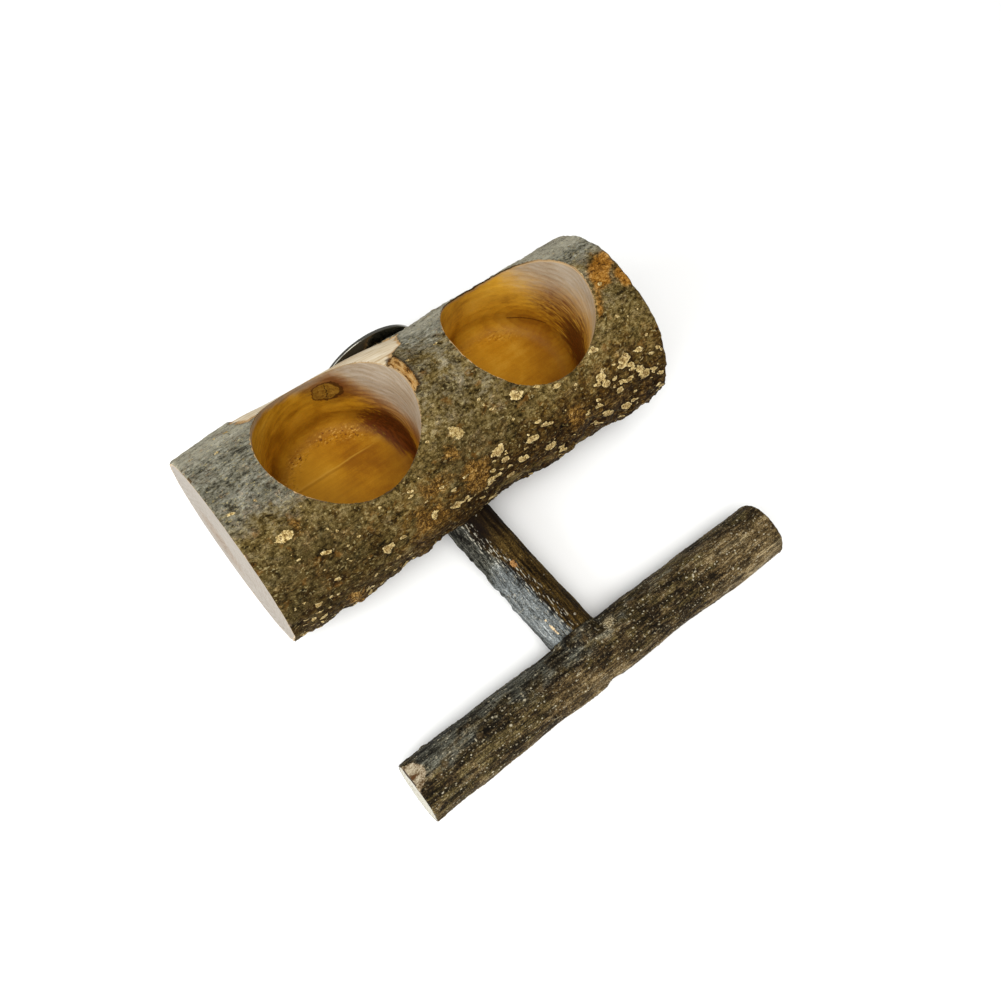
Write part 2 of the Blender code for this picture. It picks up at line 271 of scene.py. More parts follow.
def points_of(ob):
    co = np.empty(len(ob.data.vertices) * 3, np.float32)
    ob.data.vertices.foreach_get("co", co)
    return co.reshape(-1, 3).astype(float) / MM - SHIFT


def faces_of(ob):
    n = len(ob.data.polygons)
    c = np.empty(n * 3, np.float32); ob.data.polygons.foreach_get("center", c)
    w = np.empty(n * 3, np.float32); ob.data.polygons.foreach_get("normal", w)
    return c.reshape(-1, 3).astype(float) / MM - SHIFT, w.reshape(-1, 3).astype(float)


def give(ob, name, values):
    at = ob.data.attributes.new(name, "FLOAT", "POINT")
    at.data.foreach_set("value", np.asarray(values, np.float32))


def rounded(ob, degrees):
    ob.data.shade_smooth()
    ob.data.set_sharp_from_angle(angle=math.radians(degrees))


def lathe(name, profile, origin, axis, side, turns=96):
    """Turns (radius, height) points, first and last on the axis, about an axis through origin."""
    axis = np.asarray(axis, float); axis = axis / np.linalg.norm(axis)
    e1 = np.asarray(side, float); e1 = e1 - axis * (e1 @ axis); e1 /= np.linalg.norm(e1)
    e2 = np.cross(axis, e1)
    a = np.arange(turns) * 2 * math.pi / turns
    circ = np.cos(a)[:, None] * e1 + np.sin(a)[:, None] * e2
    body = np.array(profile[1:-1], float)
    rings = np.asarray(origin) + body[:, 1][:, None, None] * axis + body[:, 0][:, None, None] * circ
    return tube(name, rings, np.asarray(origin) + profile[0][1] * axis, np.asarray(origin) + profile[-1][1] * axis)


# ---------------------------------------------------------------- materials
def rgb(r, g, b):
    def lin(v):
        v = v / 255
        return v / 12.92 if v <= 0.04045 else ((v + 0.055) / 1.055) ** 2.4
    return (lin(r), lin(g), lin(b), 1.0)


class Look:
    """A small hand on a material's node tree."""

    def __init__(self, name):
        self.mat = bpy.data.materials.new(name)
        self.mat.use_nodes = True
        self.tree = self.mat.node_tree
        self.tree.nodes.clear()
        out = self.tree.nodes.new("ShaderNodeOutputMaterial")
        self.bsdf = self.tree.nodes.new("ShaderNodeBsdfPrincipled")
        self.tree.links.new(self.bsdf.outputs[0], out.inputs[0])
        self.coord = None

    def put(self, socket, value):
        if isinstance(value, bpy.types.NodeSocket):
            self.tree.links.new(value, socket)
        else:
            socket.default_value = value

    def pos(self, scale=(1, 1, 1), turn=(0, 0, 0), move=(0, 0, 0)):
        """Place on the part in mm, stretched where scale is under 1."""
        if self.coord is None:
            self.coord = self.tree.nodes.new("ShaderNodeTexCoord").outputs["Object"]
        m = self.tree.nodes.new("ShaderNodeMapping")
        m.inputs["Scale"].default_value = [s * 1000 for s in scale]
        m.inputs["Rotation"].default_value = turn
        m.inputs["Location"].default_value = move
        self.put(m.inputs["Vector"], self.coord)
        return m.outputs[0]

    def attr(self, name):
        n = self.tree.nodes.new("ShaderNodeAttribute")
        n.attribute_name = name
        return n.outputs["Fac"]

    def noise(self, vec, scale, detail=3.0, rough=0.55, warp=0.0):
        n = self.tree.nodes.new("ShaderNodeTexNoise")
        self.put(n.inputs["Vector"], vec)
        for key, v in (("Scale", scale), ("Detail", detail), ("Roughness", rough), ("Distortion", warp)):
            n.inputs[key].default_value = v
        return n.outputs[0]

    def warp(self, vec, scale, mm):
        """Pushes a place about by up to some mm, so that a pattern on it isn't regular."""
        n = self.tree.nodes.new("ShaderNodeTexNoise")
        self.put(n.inputs["Vector"], vec)
        n.inputs["Scale"].default_value = scale
        n.inputs["Detail"].default_value = 3.0
        half = self.tree.nodes.new("ShaderNodeVectorMath")
        half.operation = "SUBTRACT"
        self.put(half.inputs[0], n.outputs["Color"])
        half.inputs[1].default_value = (0.5, 0.5, 0.5)
        size = self.tree.nodes.new("ShaderNodeVectorMath")
        size.operation = "SCALE"
        self.put(size.inputs[0], half.outputs[0])
        size.inputs["Scale"].default_value = mm
        both = self.tree.nodes.new("ShaderNodeVectorMath")
        both.operation = "ADD"
        self.put(both.inputs[0], vec)
        self.put(both.inputs[1], size.outputs[0])
        return both.outputs[0]

    def cells(self, vec, scale, want="Distance", feature="F1", spread=1.0):
        n = self.tree.nodes.new("ShaderNodeTexVoronoi")
        n.feature = feature
        self.put(n.inputs["Vector"], vec)
        n.inputs["Scale"].default_value = scale
        n.inputs["Randomness"].default_value = spread
        return n.outputs[want]

    def math(self, op, a, b=0.0, clamp=False):
        n = self.tree.nodes.new("ShaderNodeMath")
        n.operation, n.use_clamp = op, clamp
        self.put(n.inputs[0], a)
        self.put(n.inputs[1], b)
        return n.outputs[0]

    def add(self, a, b):
        return self.math("ADD", a, b)

    def sub(self, a, b):
        return self.math("SUBTRACT", a, b)

    def mul(self, a, b):
        return self.math("MULTIPLY", a, b)

    def band(self, v, lo, hi, out_lo=0.0, out_hi=1.0):
        n = self.tree.nodes.new("ShaderNodeMapRange")
        n.interpolation_type = "SMOOTHSTEP"
        self.put(n.inputs["Value"], v)
        for key, x in (("From Min", lo), ("From Max", hi), ("To Min", out_lo), ("To Max", out_hi)):
            n.inputs[key].default_value = x
        return n.outputs[0]

    def ramp(self, v, stops):
        n = self.tree.nodes.new("ShaderNodeValToRGB")
        r = n.color_ramp
        while len(r.elements) < len(stops):
            r.elements.new(0.5)
        for e, (at, col) in zip(r.elements, stops):
            e.position, e.color = at, col
        self.put(n.inputs[0], v)
        return n.outputs[0]

    def mix(self, f, a, b, how="MIX"):
        n = self.tree.nodes.new("ShaderNodeMix")
        n.data_type, n.blend_type = "RGBA", how
        self.put(n.inputs[0], f)
        self.put(n.inputs[6], a)
        self.put(n.inputs[7], b)
        return n.outputs[2]

    def split(self, vec):
        n = self.tree.nodes.new("ShaderNodeSeparateXYZ")
        self.put(n.inputs[0], vec)
        return n.outputs

    def bump(self, height, mm, strength=1.0):
        n = self.tree.nodes.new("ShaderNodeBump")
        n.inputs["Strength"].default_value = strength
        n.inputs["Distance"].default_value = mm * MM
        self.put(n.inputs["Height"], height)
        self.put(self.bsdf.inputs["Normal"], n.outputs[0])

    def done(self, colour, rough, metal=0.0, shine=0.5):
        self.put(self.bsdf.inputs["Base Color"], colour)
        self.put(self.bsdf.inputs["Roughness"], rough)
        self.bsdf.inputs["Metallic"].default_value = metal
        self.bsdf.inputs["Specular IOR Level"].default_value = shine
        return self.mat


def log_bark_look():
    k = Look("log_bark")
    p = k.pos()
    rel, cool, deep = k.attr("relief"), k.attr("cool"), k.attr("deep")
    fine = k.noise(p, 2.4, 3, 0.6)
    gran = k.noise(k.pos((0.72, 1, 1)), 0.95, 3, 0.62)
    mid = k.noise(k.pos((0.75, 1, 1)), 0.28, 4, 0.6)
    broad = k.noise(p, 0.065, 3, 0.5)
    tint = k.noise(k.pos((0.8, 1, 1), (0, 0, 0), (31, 7, 3)), 0.23, 5, 0.62)
    fiss = k.noise(k.pos((0.26, 1, 1)), 1.1, 3, 0.6)
    # the relief darkens the hollows a little: painted shade
    v = k.add(0.515, k.mul(rel, 0.050))
    v = k.add(v, k.mul(k.sub(gran, 0.5), 1.06))
    v = k.add(v, k.mul(k.sub(fine, 0.5), 0.66))
    v = k.add(v, k.mul(k.sub(mid, 0.5), 0.85))
    v = k.add(v, k.mul(k.sub(broad, 0.5), 0.35))
    v = k.add(v, k.mul(k.mul(cool, k.sub(fiss, 0.5)), 1.1))
    olive = k.ramp(v, [(0.18, rgb(20, 14, 4)), (0.35, rgb(63, 50, 20)), (0.50, rgb(93, 77, 40)),
                       (0.65, rgb(121, 103, 62)), (0.88, rgb(180, 163, 114))])
    brown = k.ramp(v, [(0.18, rgb(16, 9, 2)), (0.35, rgb(52, 34, 6)), (0.50, rgb(82, 59, 18)),
                       (0.65, rgb(112, 85, 35)), (0.88, rgb(176, 147, 86))])
    dark = k.ramp(v, [(0.20, rgb(8, 4, 1)), (0.38, rgb(29, 16, 3)), (0.54, rgb(58, 39, 9)),
                      (0.72, rgb(98, 71, 27)), (0.92, rgb(170, 141, 84))])
    grey = k.ramp(v, [(0.12, rgb(40, 38, 31)), (0.34, rgb(88, 86, 73)), (0.50, rgb(112, 109, 94)),
                      (0.68, rgb(134, 132, 117)), (0.92, rgb(176, 173, 157))])
    # deep and cool carry painted shade low on the log and painted light on its top, as well as the bark's own brown and
    # grey
    f = k.band(k.add(k.mul(deep, 0.9), k.mul(k.sub(tint, 0.5), 2.2)), 0.05, 0.75)
    col = k.mix(f, olive, brown)
    f = k.add(k.mul(k.sub(mid, 0.5), 1.1), k.add(k.mul(k.sub(tint, 0.5), 1.1), k.mul(k.sub(gran, 0.5), 0.8)))
    f = k.band(k.add(cool, f), 0.12, 0.98)
    col = k.mix(f, col, grey)
    col = k.mix(k.band(cool, 0.95, 1.45, 0.0, 0.75), col, k.mix(gran, rgb(132, 128, 110), rgb(192, 186, 164)))
    f = k.band(k.add(deep, k.add(k.mul(k.sub(mid, 0.5), 1.5), k.mul(k.sub(broad, 0.5), 0.9))), 0.38, 0.88)
    col = k.mix(f, col, dark)
    # painted shade: darker towards the underside, most at the left end
    col = k.mix(k.mul(k.attr("low"), 0.56), col, rgb(20, 15, 5))
    # warm mottling over the stem's root
    f = k.mul(k.attr("ginger"), k.band(k.add(k.mul(tint, 0.6), k.mul(mid, 0.4)), 0.42, 0.56))
    col = k.mix(k.mul(f, 0.55), col, k.ramp(v, [(0.22, rgb(36, 20, 3)), (0.45, rgb(92, 62, 16)), (0.62, rgb(128, 92, 34)), (0.85, rgb(172, 138, 76))]))
    # thin grey film, ginger blotches, pale grains, dark pits and hair cracks
    film = k.noise(k.pos((0.8, 1, 1), (0, 0, 0), (3, 19, 12)), 0.26, 4, 0.62)
    col = k.mix(k.mul(k.band(film, 0.55, 0.72, 0.0, 0.40), k.band(deep, 0.7, 0.2, 0.2, 1.0)), col, k.ramp(v, [(0.25, rgb(42, 37, 22)), (0.50, rgb(92, 84, 57)), (0.80, rgb(144, 135, 104))]))
    col = k.mix(k.mul(k.band(film, 0.42, 0.31), k.band(cool, 0.9, 0.3, 0.15, 0.55)), col, k.mix(gran, rgb(58, 34, 8), rgb(142, 98, 40)))
    speck = k.noise(k.pos((0.75, 1, 1), (0, 0, 0), (5, 2, 9)), 1.35, 2, 0.5)
    col = k.mix(k.band(speck, 0.58, 0.70, 0.0, 0.50), col, k.mix(k.band(tint, 0.35, 0.65), rgb(122, 105, 60), rgb(192, 176, 126)))
    col = k.mix(k.band(speck, 0.43, 0.31, 0.0, 0.62), col, rgb(24, 17, 6))
    hair = k.noise(k.pos((0.20, 0.8, 0.8), (0, 0, 0), (2, 9, 4)), 0.75, 3, 0.6)
    f = k.mul(k.band(k.math("ABSOLUTE", k.sub(hair, 0.5)), 0.022, 0.006), k.band(mid, 0.44, 0.60))
    col = k.mix(k.mul(f, 0.75), col, rgb(18, 13, 7))
    # dark gaps between the plates on the shaded side
    cell = k.cells(k.warp(k.pos((0.55, 1, 1), (0, 0, 0), (4, 8, 1)), 0.55, 2.2), 0.40, "Distance", "DISTANCE_TO_EDGE")
    f = k.mul(k.band(cell, 0.17, 0.03), k.band(k.add(deep, k.mul(k.sub(tint, 0.5), 2.0)), 0.25, 0.80))
    col = k.mix(k.mul(f, 0.72), col, rgb(28, 15, 4))
    # rust and inner-bark patches
    rust = k.add(k.attr("rust"), k.add(k.mul(k.sub(mid, 0.5), 4.6), k.mul(k.sub(gran, 0.5), 3.4)))
    tone = k.ramp(k.add(k.mul(gran, 0.6), k.add(k.mul(k.sub(fine, 0.5), 0.6), k.mul(tint, 0.4))),
                  [(0.34, rgb(34, 20, 4)), (0.44, rgb(84, 57, 18)), (0.53, rgb(124, 90, 38)), (0.62, rgb(160, 123, 64)), (0.74, rgb(196, 164, 104))])
    net = k.noise(k.pos((1, 1, 1), (0, 0, 0), (8, 1, 5)), 0.55, 3, 0.6)
    tone = k.mix(k.band(k.math("ABSOLUTE", k.sub(net, 0.5)), 0.060, 0.012, 0.0, 0.90), tone, rgb(46, 25, 6))
    tone = k.mix(k.band(k.attr("orange"), 0.0, 1.0, 0.0, 0.80), tone, k.ramp(k.add(k.mul(gran, 0.6), k.add(k.mul(k.sub(fine, 0.5), 0.5), k.mul(mid, 0.4))), [(0.34, rgb(58, 32, 6)), (0.46, rgb(122, 76, 16)), (0.56, rgb(158, 106, 32)), (0.70, rgb(192, 148, 76))]))
    col = k.mix(k.mul(k.band(rust, -1.3, -0.5), k.band(rust, 0.3, -0.3, 0.0, 0.3)), col, rgb(34, 21, 5))
    col = k.mix(k.band(rust, -1.1, 1.3, 0.0, 0.88), col, tone)
    # pale blisters
    flake = k.attr("cream")
    edge = k.add(flake, k.add(k.mul(k.sub(gran, 0.5), 0.95), k.mul(k.sub(fine, 0.5), 0.30)))
    tone = k.ramp(k.add(0.5, k.add(k.mul(k.sub(fine, 0.5), 0.8), k.mul(k.sub(gran, 0.5), 0.7))),
                  [(0.30, rgb(112, 86, 42)), (0.44, rgb(166, 142, 88)), (0.57, rgb(206, 183, 128)), (0.74, rgb(228, 211, 166))])
    tone = k.mix(k.mul(k.band(edge, 0.34, 0.62), k.band(tint, 0.36, 0.60, 0.15, 0.70)), tone, k.mix(gran, rgb(96, 70, 30), rgb(170, 142, 92)))
    crease = k.noise(k.pos((1, 0.7, 0.7), (0, 0, 0), (1, 6, 2)), 0.95, 2, 0.5)
    tone = k.mix(k.band(k.math("ABSOLUTE", k.sub(crease, 0.5)), 0.055, 0.012, 0.0, 0.85), tone, rgb(84, 58, 22))
    halo = k.mul(k.band(edge, -0.45, 0.04), 0.78)
    col = k.mix(k.mul(halo, k.band(deep, 0.0, 0.8, 0.20, 1.0)), col, rgb(28, 16, 4))
    col = k.mix(k.mul(k.band(edge, 0.08, 0.18), k.band(deep, 0.1, 0.6, 0.92, 1.0)), col, tone)
    # strip with the bark sliced away
    bare = k.attr("bare")
    grainline = k.noise(k.pos((0.035, 1, 1)), 1.0, 3, 0.6)
    wood = k.ramp(k.add(k.mul(grainline, 0.8), k.mul(mid, 0.2)), [(0.34, rgb(180, 155, 118)), (0.5, rgb(208, 191, 161)), (0.66, rgb(220, 207, 183))])
    tan = k.ramp(k.add(k.mul(fine, 0.5), k.mul(grainline, 0.5)), [(0.36, rgb(120, 82, 36)), (0.5, rgb(164, 124, 70)), (0.64, rgb(188, 154, 102))])
    wood = k.mix(k.band(k.add(bare, k.mul(k.sub(mid, 0.5), 2.6)), 1.6, 0.5, 0.0, 0.85), wood, tan)
    rim = k.add(bare, k.add(k.mul(k.sub(gran, 0.5), 1.8), k.mul(k.sub(fine, 0.5), 0.8)))
    col = k.mix(k.mul(k.band(rim, -0.75, -0.2), 0.5), col, rgb(58, 42, 22))
    col = k.mix(k.band(rim, -0.15, 0.20), col, wood)
    # torn-back tongue of inner bark
    tongue = k.add(k.attr("tongue"), k.add(k.mul(k.sub(gran, 0.5), 1.6), k.mul(k.sub(fine, 0.5), 0.8)))
    rib = k.noise(k.pos((0.9, 0.16, 0.9), (0, 0, 0.6)), 0.9, 3, 0.62)
    tan = k.ramp(k.add(k.mul(rib, 0.9), k.add(k.mul(fine, 0.3), k.mul(k.sub(mid, 0.5), 0.5))),
                 [(0.44, rgb(48, 24, 5)), (0.54, rgb(112, 74, 28)), (0.63, rgb(152, 110, 56)), (0.76, rgb(180, 146, 94))])
    tan = k.mix(k.band(k.math("ABSOLUTE", k.sub(rib, 0.47)), 0.020, 0.006, 0.0, 0.9), tan, rgb(34, 16, 4))
    col = k.mix(k.band(tongue, -1.3, -0.3, 0.0, 0.75), col, rgb(34, 20, 7))
    col = k.mix(k.band(tongue, -0.30, 0.25), col, tan)
    h = k.add(k.mul(gran, 0.75), k.mul(fine, 0.5))
    h = k.mul(h, k.band(bare, 0.4, -0.2, 0.12, 1.0))
    k.bump(h, 0.34, 0.8)
    rough = k.band(v, 0.2, 0.8, 0.95, 0.70)
    return k.done(col, rough, 0.0, 0.05)


def log_wood_look():
    k = Look("log_wood")
    p = k.pos()
    x, y, z = k.split(p)
    pull = k.noise(k.pos((0.012, 0.05, 0.05)), 1.0, 2, 0.5)
    wave = k.noise(k.pos((0.03, 0.16, 0.16)), 1.0, 2, 0.5)
    dy = k.sub(y, float(PITH[0] + SHIFT[1]))
    dz = k.sub(z, float(PITH[1] + SHIFT[2]))
    rr = k.math("SQRT", k.add(k.mul(dy, dy), k.mul(dz, dz)))
    rr = k.add(rr, k.add(k.mul(k.sub(pull, 0.5), 9.0), k.mul(k.sub(wave, 0.5), 2.4)))
    ring = k.math("FRACT", k.mul(rr, 0.46))
    late = k.mul(k.band(ring, 0.25, 0.90), k.band(ring, 1.0, 0.93))
    fibre = k.noise(k.pos((0.03, 1, 1)), 1.1, 4, 0.62)
    streak = k.noise(k.pos((0.012, 0.33, 0.33)), 1.0, 3, 0.6)
    brush = k.noise(k.pos((0.45, 0.10, 1)), 0.8, 4, 0.62)
    cloud = k.noise(p, 0.085, 4, 0.55)
    fine = k.noise(p, 2.2, 2, 0.6)
    end, wall = k.attr("endgrain"), k.attr("wall")
    ay, az = k.sub(y, float(SHIFT[1])), k.sub(z, float(SHIFT[2]))
    under = k.sub(k.attr("rad"), k.math("SQRT", k.add(k.mul(ay, ay), k.mul(az, az))))
    # heartwood, along and across the grain
    t = k.add(k.add(k.mul(fibre, 0.17), k.mul(streak, 0.13)), k.add(k.mul(cloud, 0.56), k.mul(fine, 0.14)))
    t = k.sub(t, k.mul(k.mul(late, end), 0.04))
    heart = k.ramp(t, [(0.37, rgb(150, 96, 8)), (0.47, rgb(175, 119, 15)), (0.55, rgb(192, 136, 23)), (0.66, rgb(212, 161, 50))])
    f = k.mul(k.band(k.add(k.mul(fibre, 0.6), k.mul(streak, 0.4)), 0.57, 0.66), k.band(wall, 0.4, 0.0, 0.0, 0.12))
    heart = k.mix(f, heart, rgb(212, 162, 56))
    right = k.band(x, 0.0, 12.0)
    heart = k.mix(k.mul(right, k.band(wall, 0.8, 0.2, 0.04, 0.12)), heart, rgb(110, 66, 8))
    # each floor darkens from left to right
    over = k.sub(k.sub(x, float(CUP_X[0] + SHIFT[0])), k.mul(right, float(CUP_X[1] - CUP_X[0])))
    heart = k.mix(k.mul(k.band(over, 8.0, -14.0, 0.0, 0.50), k.band(wall, 0.6, 0.1)), heart, rgb(214, 160, 42))
    # one long torn fibre on the left floor, with a darker line along its foot
    dash = k.add(k.sub(y, float(RIDGE_Y + SHIFT[1])), k.mul(k.sub(k.noise(k.pos((0.12, 0.1, 0.1)), 1.0, 2, 0.5), 0.5), 0.8))
    only = k.mul(k.mul(k.band(x, float(CUP_X[0] + SHIFT[0] + 21), float(CUP_X[0] + SHIFT[0] + 8)), k.band(wall, 0.5, 0.1)), k.band(streak, 0.30, 0.50, 0.45, 1.0))
    heart = k.mix(k.mul(k.band(k.math("ABSOLUTE", k.add(dash, 0.8)), 0.80, 0.15, 0.0, 0.32), only), heart, rgb(128, 76, 8))
    heart = k.mix(k.mul(k.band(k.math("ABSOLUTE", dash), 0.45, 0.10, 0.0, 0.50), only), heart, rgb(216, 168, 62))
    # the wall is painted a little lighter than the floor: painted light
    fair = k.ramp(t, [(0.37, rgb(173, 119, 18)), (0.47, rgb(203, 147, 30)), (0.55, rgb(218, 163, 41)), (0.66, rgb(228, 181, 70))])
    heart = k.mix(k.band(wall, 0.0, 1.0), heart, fair)
    rise = k.sub(z, float(CUP_FLOOR + SHIFT[2]))
    # painted shade: the wall darkens towards its corner with the floor, and each cup's right side darkens low down
    f = k.mul(k.band(rise, 15.0, 3.0), k.band(wall, -0.2, 0.5))
    heart = k.mix(k.mul(f, 0.40), heart, rgb(112, 68, 9))
    heart = k.mix(k.mul(k.band(over, 3.0, 22.0, 0.0, 0.42), k.band(rise, 12.0, 3.0)), heart, rgb(104, 59, 8))
    # painted light: the right cup's upper wall is lighter
    heart = k.mix(k.mul(k.mul(right, k.band(rise, 9.0, 18.0)), 0.28), heart, rgb(230, 184, 74))
    f = k.mul(k.mul(late, k.band(end, 0.1, 0.8)), k.sub(0.18, k.mul(right, 0.12)))
    heart = k.mix(f, heart, rgb(132, 76, 18))
    f = k.mul(wall, k.band(k.add(k.mul(cloud, 0.6), k.mul(brush, 0.4)), 0.50, 0.34))
    heart = k.mix(k.mul(f, 0.30), heart, rgb(130, 76, 9))
    # sapwood on the side that lies nearest the bark, together with painted light on the upper wall
    t = k.add(k.add(k.mul(brush, 0.40), k.mul(cloud, 0.25)), k.add(k.mul(fine, 0.15), k.mul(late, -0.05)))
    sap_and_light = k.ramp(t, [(0.18, rgb(134, 111, 84)), (0.34, rgb(166, 149, 125)), (0.52, rgb(190, 179, 161))])
    sap_and_light = k.mix(k.mul(right, 0.16), sap_and_light, rgb(116, 100, 74))
    line = k.add(k.attr("sap_and_light"), k.add(k.mul(k.sub(brush, 0.5), 6.0), k.mul(k.sub(streak, 0.5), 3.0)))
    col = k.mix(k.band(line, -5.0, 12.5), heart, sap_and_light)
    # the change from heart to sap is brown, with darker lines in it
    zone = k.mul(k.mul(k.band(line, -9.0, -1.0), k.band(line, 10.0, 2.0)), k.attr("zone"))
    col = k.mix(k.mul(zone, 0.46), col, rgb(122, 70, 34))
    col = k.mix(k.mul(k.mul(zone, k.band(k.add(brush, k.mul(late, 0.10)), 0.46, 0.62)), 0.42), col, rgb(94, 46, 18))
    # faint growth arcs across both
    col = k.mix(k.mul(k.mul(late, k.band(end, 0.2, 0.8)), k.band(brush, 0.40, 0.60, 0.02, 0.08)), col, rgb(112, 72, 32))
    # a pale edge where the wall comes up to the bark
    f = k.mul(k.band(k.add(under, k.mul(k.sub(brush, 0.5), 3.0)), 3.4, 1.4), k.attr("edge"))
    col = k.mix(k.mul(f, 0.80), col, sap_and_light)
    # dark heart streaks low on the end-grain wall, together with painted shadow of the rim there
    streak_and_rim_shadow = k.attr("streak_and_rim_shadow")
    thin = k.noise(k.pos((0.9, 0.09, 1)), 1.7, 3, 0.6)
    f = k.add(k.mul(k.sub(brush, 0.5), 1.2), k.mul(k.sub(thin, 0.5), 1.5))
    f = k.add(streak_and_rim_shadow, k.mul(f, k.band(streak_and_rim_shadow, 0.0, 0.45)))
    col = k.mix(k.band(f, -0.12, 0.70, 0.0, 0.95), col, k.mix(k.band(thin, 0.38, 0.60), rgb(60, 21, 3), rgb(90, 41, 9)))
    # sawn ends are paler, with a greyer film
    ends = k.attr("sawn")
    saw = k.noise(k.pos((1, 0.06, 1.2), (0.35, 0, 0)), 0.9, 3, 0.6)
    pale = k.ramp(k.add(k.add(k.mul(saw, 0.4), k.mul(fine, 0.25)), k.mul(late, -0.10)),
                  [(0.12, rgb(122, 110, 98)), (0.32, rgb(152, 144, 134)), (0.55, rgb(172, 166, 157))])
    core = k.ramp(k.add(k.mul(fine, 0.4), k.mul(late, -0.2)), [(0.0, rgb(120, 96, 74)), (0.35, rgb(150, 135, 117))])
    pale = k.mix(k.band(rr, 16.0, 8.0, 0.0, 0.55), pale, core)
    col = k.mix(k.mul(ends, 0.95), col, pale)
    # knot
    knot = k.attr("knot")
    body = k.ramp(k.add(k.mul(fine, 0.5), k.mul(k.noise(p, 0.9, 2), 0.5)),
                  [(0.35, rgb(112, 76, 18)), (0.55, rgb(152, 112, 38)), (0.7, rgb(176, 138, 64))])
    crack = k.band(k.math("ABSOLUTE", k.add(k.attr("crack"), k.mul(k.sub(k.noise(p, 0.5, 2), 0.5), 3.0))), 0.32, 0.08)
    body = k.mix(k.mul(k.mul(crack, k.band(knot, 0.95, 0.6)), 0.85), body, rgb(40, 20, 4))
    edge = k.add(knot, k.mul(k.sub(k.noise(p, 0.40, 3), 0.5), 0.70))
    f = k.mul(k.band(edge, 2.2, 1.0), k.band(k.attr("crack"), -3.0, 4.0, 0.16, 0.72))
    col = k.mix(f, col, rgb(102, 54, 18))
    col = k.mix(k.band(edge, 1.04, 0.92), col, body)
    side = k.band(k.attr("crack"), -2.0, 4.5, 0.0, 0.24)
    f = k.mul(k.band(k.add(edge, side), 0.93, 1.01), k.band(edge, 1.10, 1.02))
    col = k.mix(k.mul(f, 0.85), col, rgb(62, 28, 7))
    # growth lines nested round the split
    eye = k.attr("eye")
    arc = k.math("FRACT", k.add(k.mul(eye, 0.42), k.mul(k.sub(cloud, 0.5), 1.6)))
    f = k.mul(k.mul(k.band(arc, 0.30, 0.85), k.band(arc, 1.0, 0.92)), k.band(eye, 13.0, 5.0))
    col = k.mix(k.mul(f, 0.25), col, rgb(116, 66, 12))
    col = k.mix(k.band(eye, 7.0, 1.0, 0.0, 0.35), col, rgb(128, 76, 16))
    # drying split on the right cup's wall
    f = k.band(k.math("ABSOLUTE", k.add(k.attr("check"), k.mul(k.sub(fine, 0.5), 0.6))), 0.50, 0.10)
    col = k.mix(k.mul(f, 0.75), col, rgb(72, 36, 6))
    # torn flecks that the bit leaves where the floor turns up
    torn = k.attr("torn")
    fleck = k.noise(k.pos((0.6, 1, 1)), 1.45, 2, 0.5)
    col = k.mix(k.mul(k.mul(k.band(fleck, 0.43, 0.36), torn), 0.95), col, rgb(92, 48, 5))
    col = k.mix(k.mul(k.mul(k.band(fleck, 0.59, 0.67), torn), 0.75), col, rgb(216, 170, 80))
    # bark and the film under it, where the cut shows them edge on
    depth = k.add(under, k.mul(k.sub(fine, 0.5), 0.30))
    col = k.mix(k.band(depth, 1.25, 0.65, 0.0, 0.85), col, k.mix(end, rgb(172, 138, 88), rgb(196, 168, 126)))
    seat = k.attr("seat")
    plain = k.ramp(k.add(k.mul(fibre, 0.6), k.mul(streak, 0.4)), [(0.36, rgb(140, 108, 68)), (0.50, rgb(176, 148, 108)), (0.64, rgb(200, 178, 142))])
    col = k.mix(seat, col, plain)
    inner = k.ramp(k.add(k.mul(fibre, 0.5), k.add(k.mul(fine, 0.3), k.mul(cloud, 0.2))), [(0.36, rgb(48, 28, 9)), (0.50, rgb(104, 70, 30)), (0.64, rgb(158, 118, 66))])
    col = k.mix(k.mul(seat, k.band(k.add(under, k.mul(k.sub(fibre, 0.5), 1.2)), 1.15, 0.75)), col, inner)
    line = k.mix(k.mul(k.band(end, 0.25, 0.8), k.sub(1.0, ends)), k.mix(fine, rgb(36, 25, 11), rgb(92, 72, 42)), k.mix(fine, rgb(120, 92, 54), rgb(196, 166, 122)))
    col = k.mix(k.mul(k.band(depth, 0.62, 0.40), k.sub(1.0, k.mul(seat, 0.55))), col, line)
    k.bump(k.add(k.mul(fibre, 0.45), k.add(k.add(k.mul(late, -0.2), k.mul(fine, 0.35)), k.mul(k.mul(fleck, torn), 3.0))), 0.10, 0.5)
    return k.done(col, k.band(fibre, 0.3, 0.7, 0.50, 0.66), 0.0, 0.12)


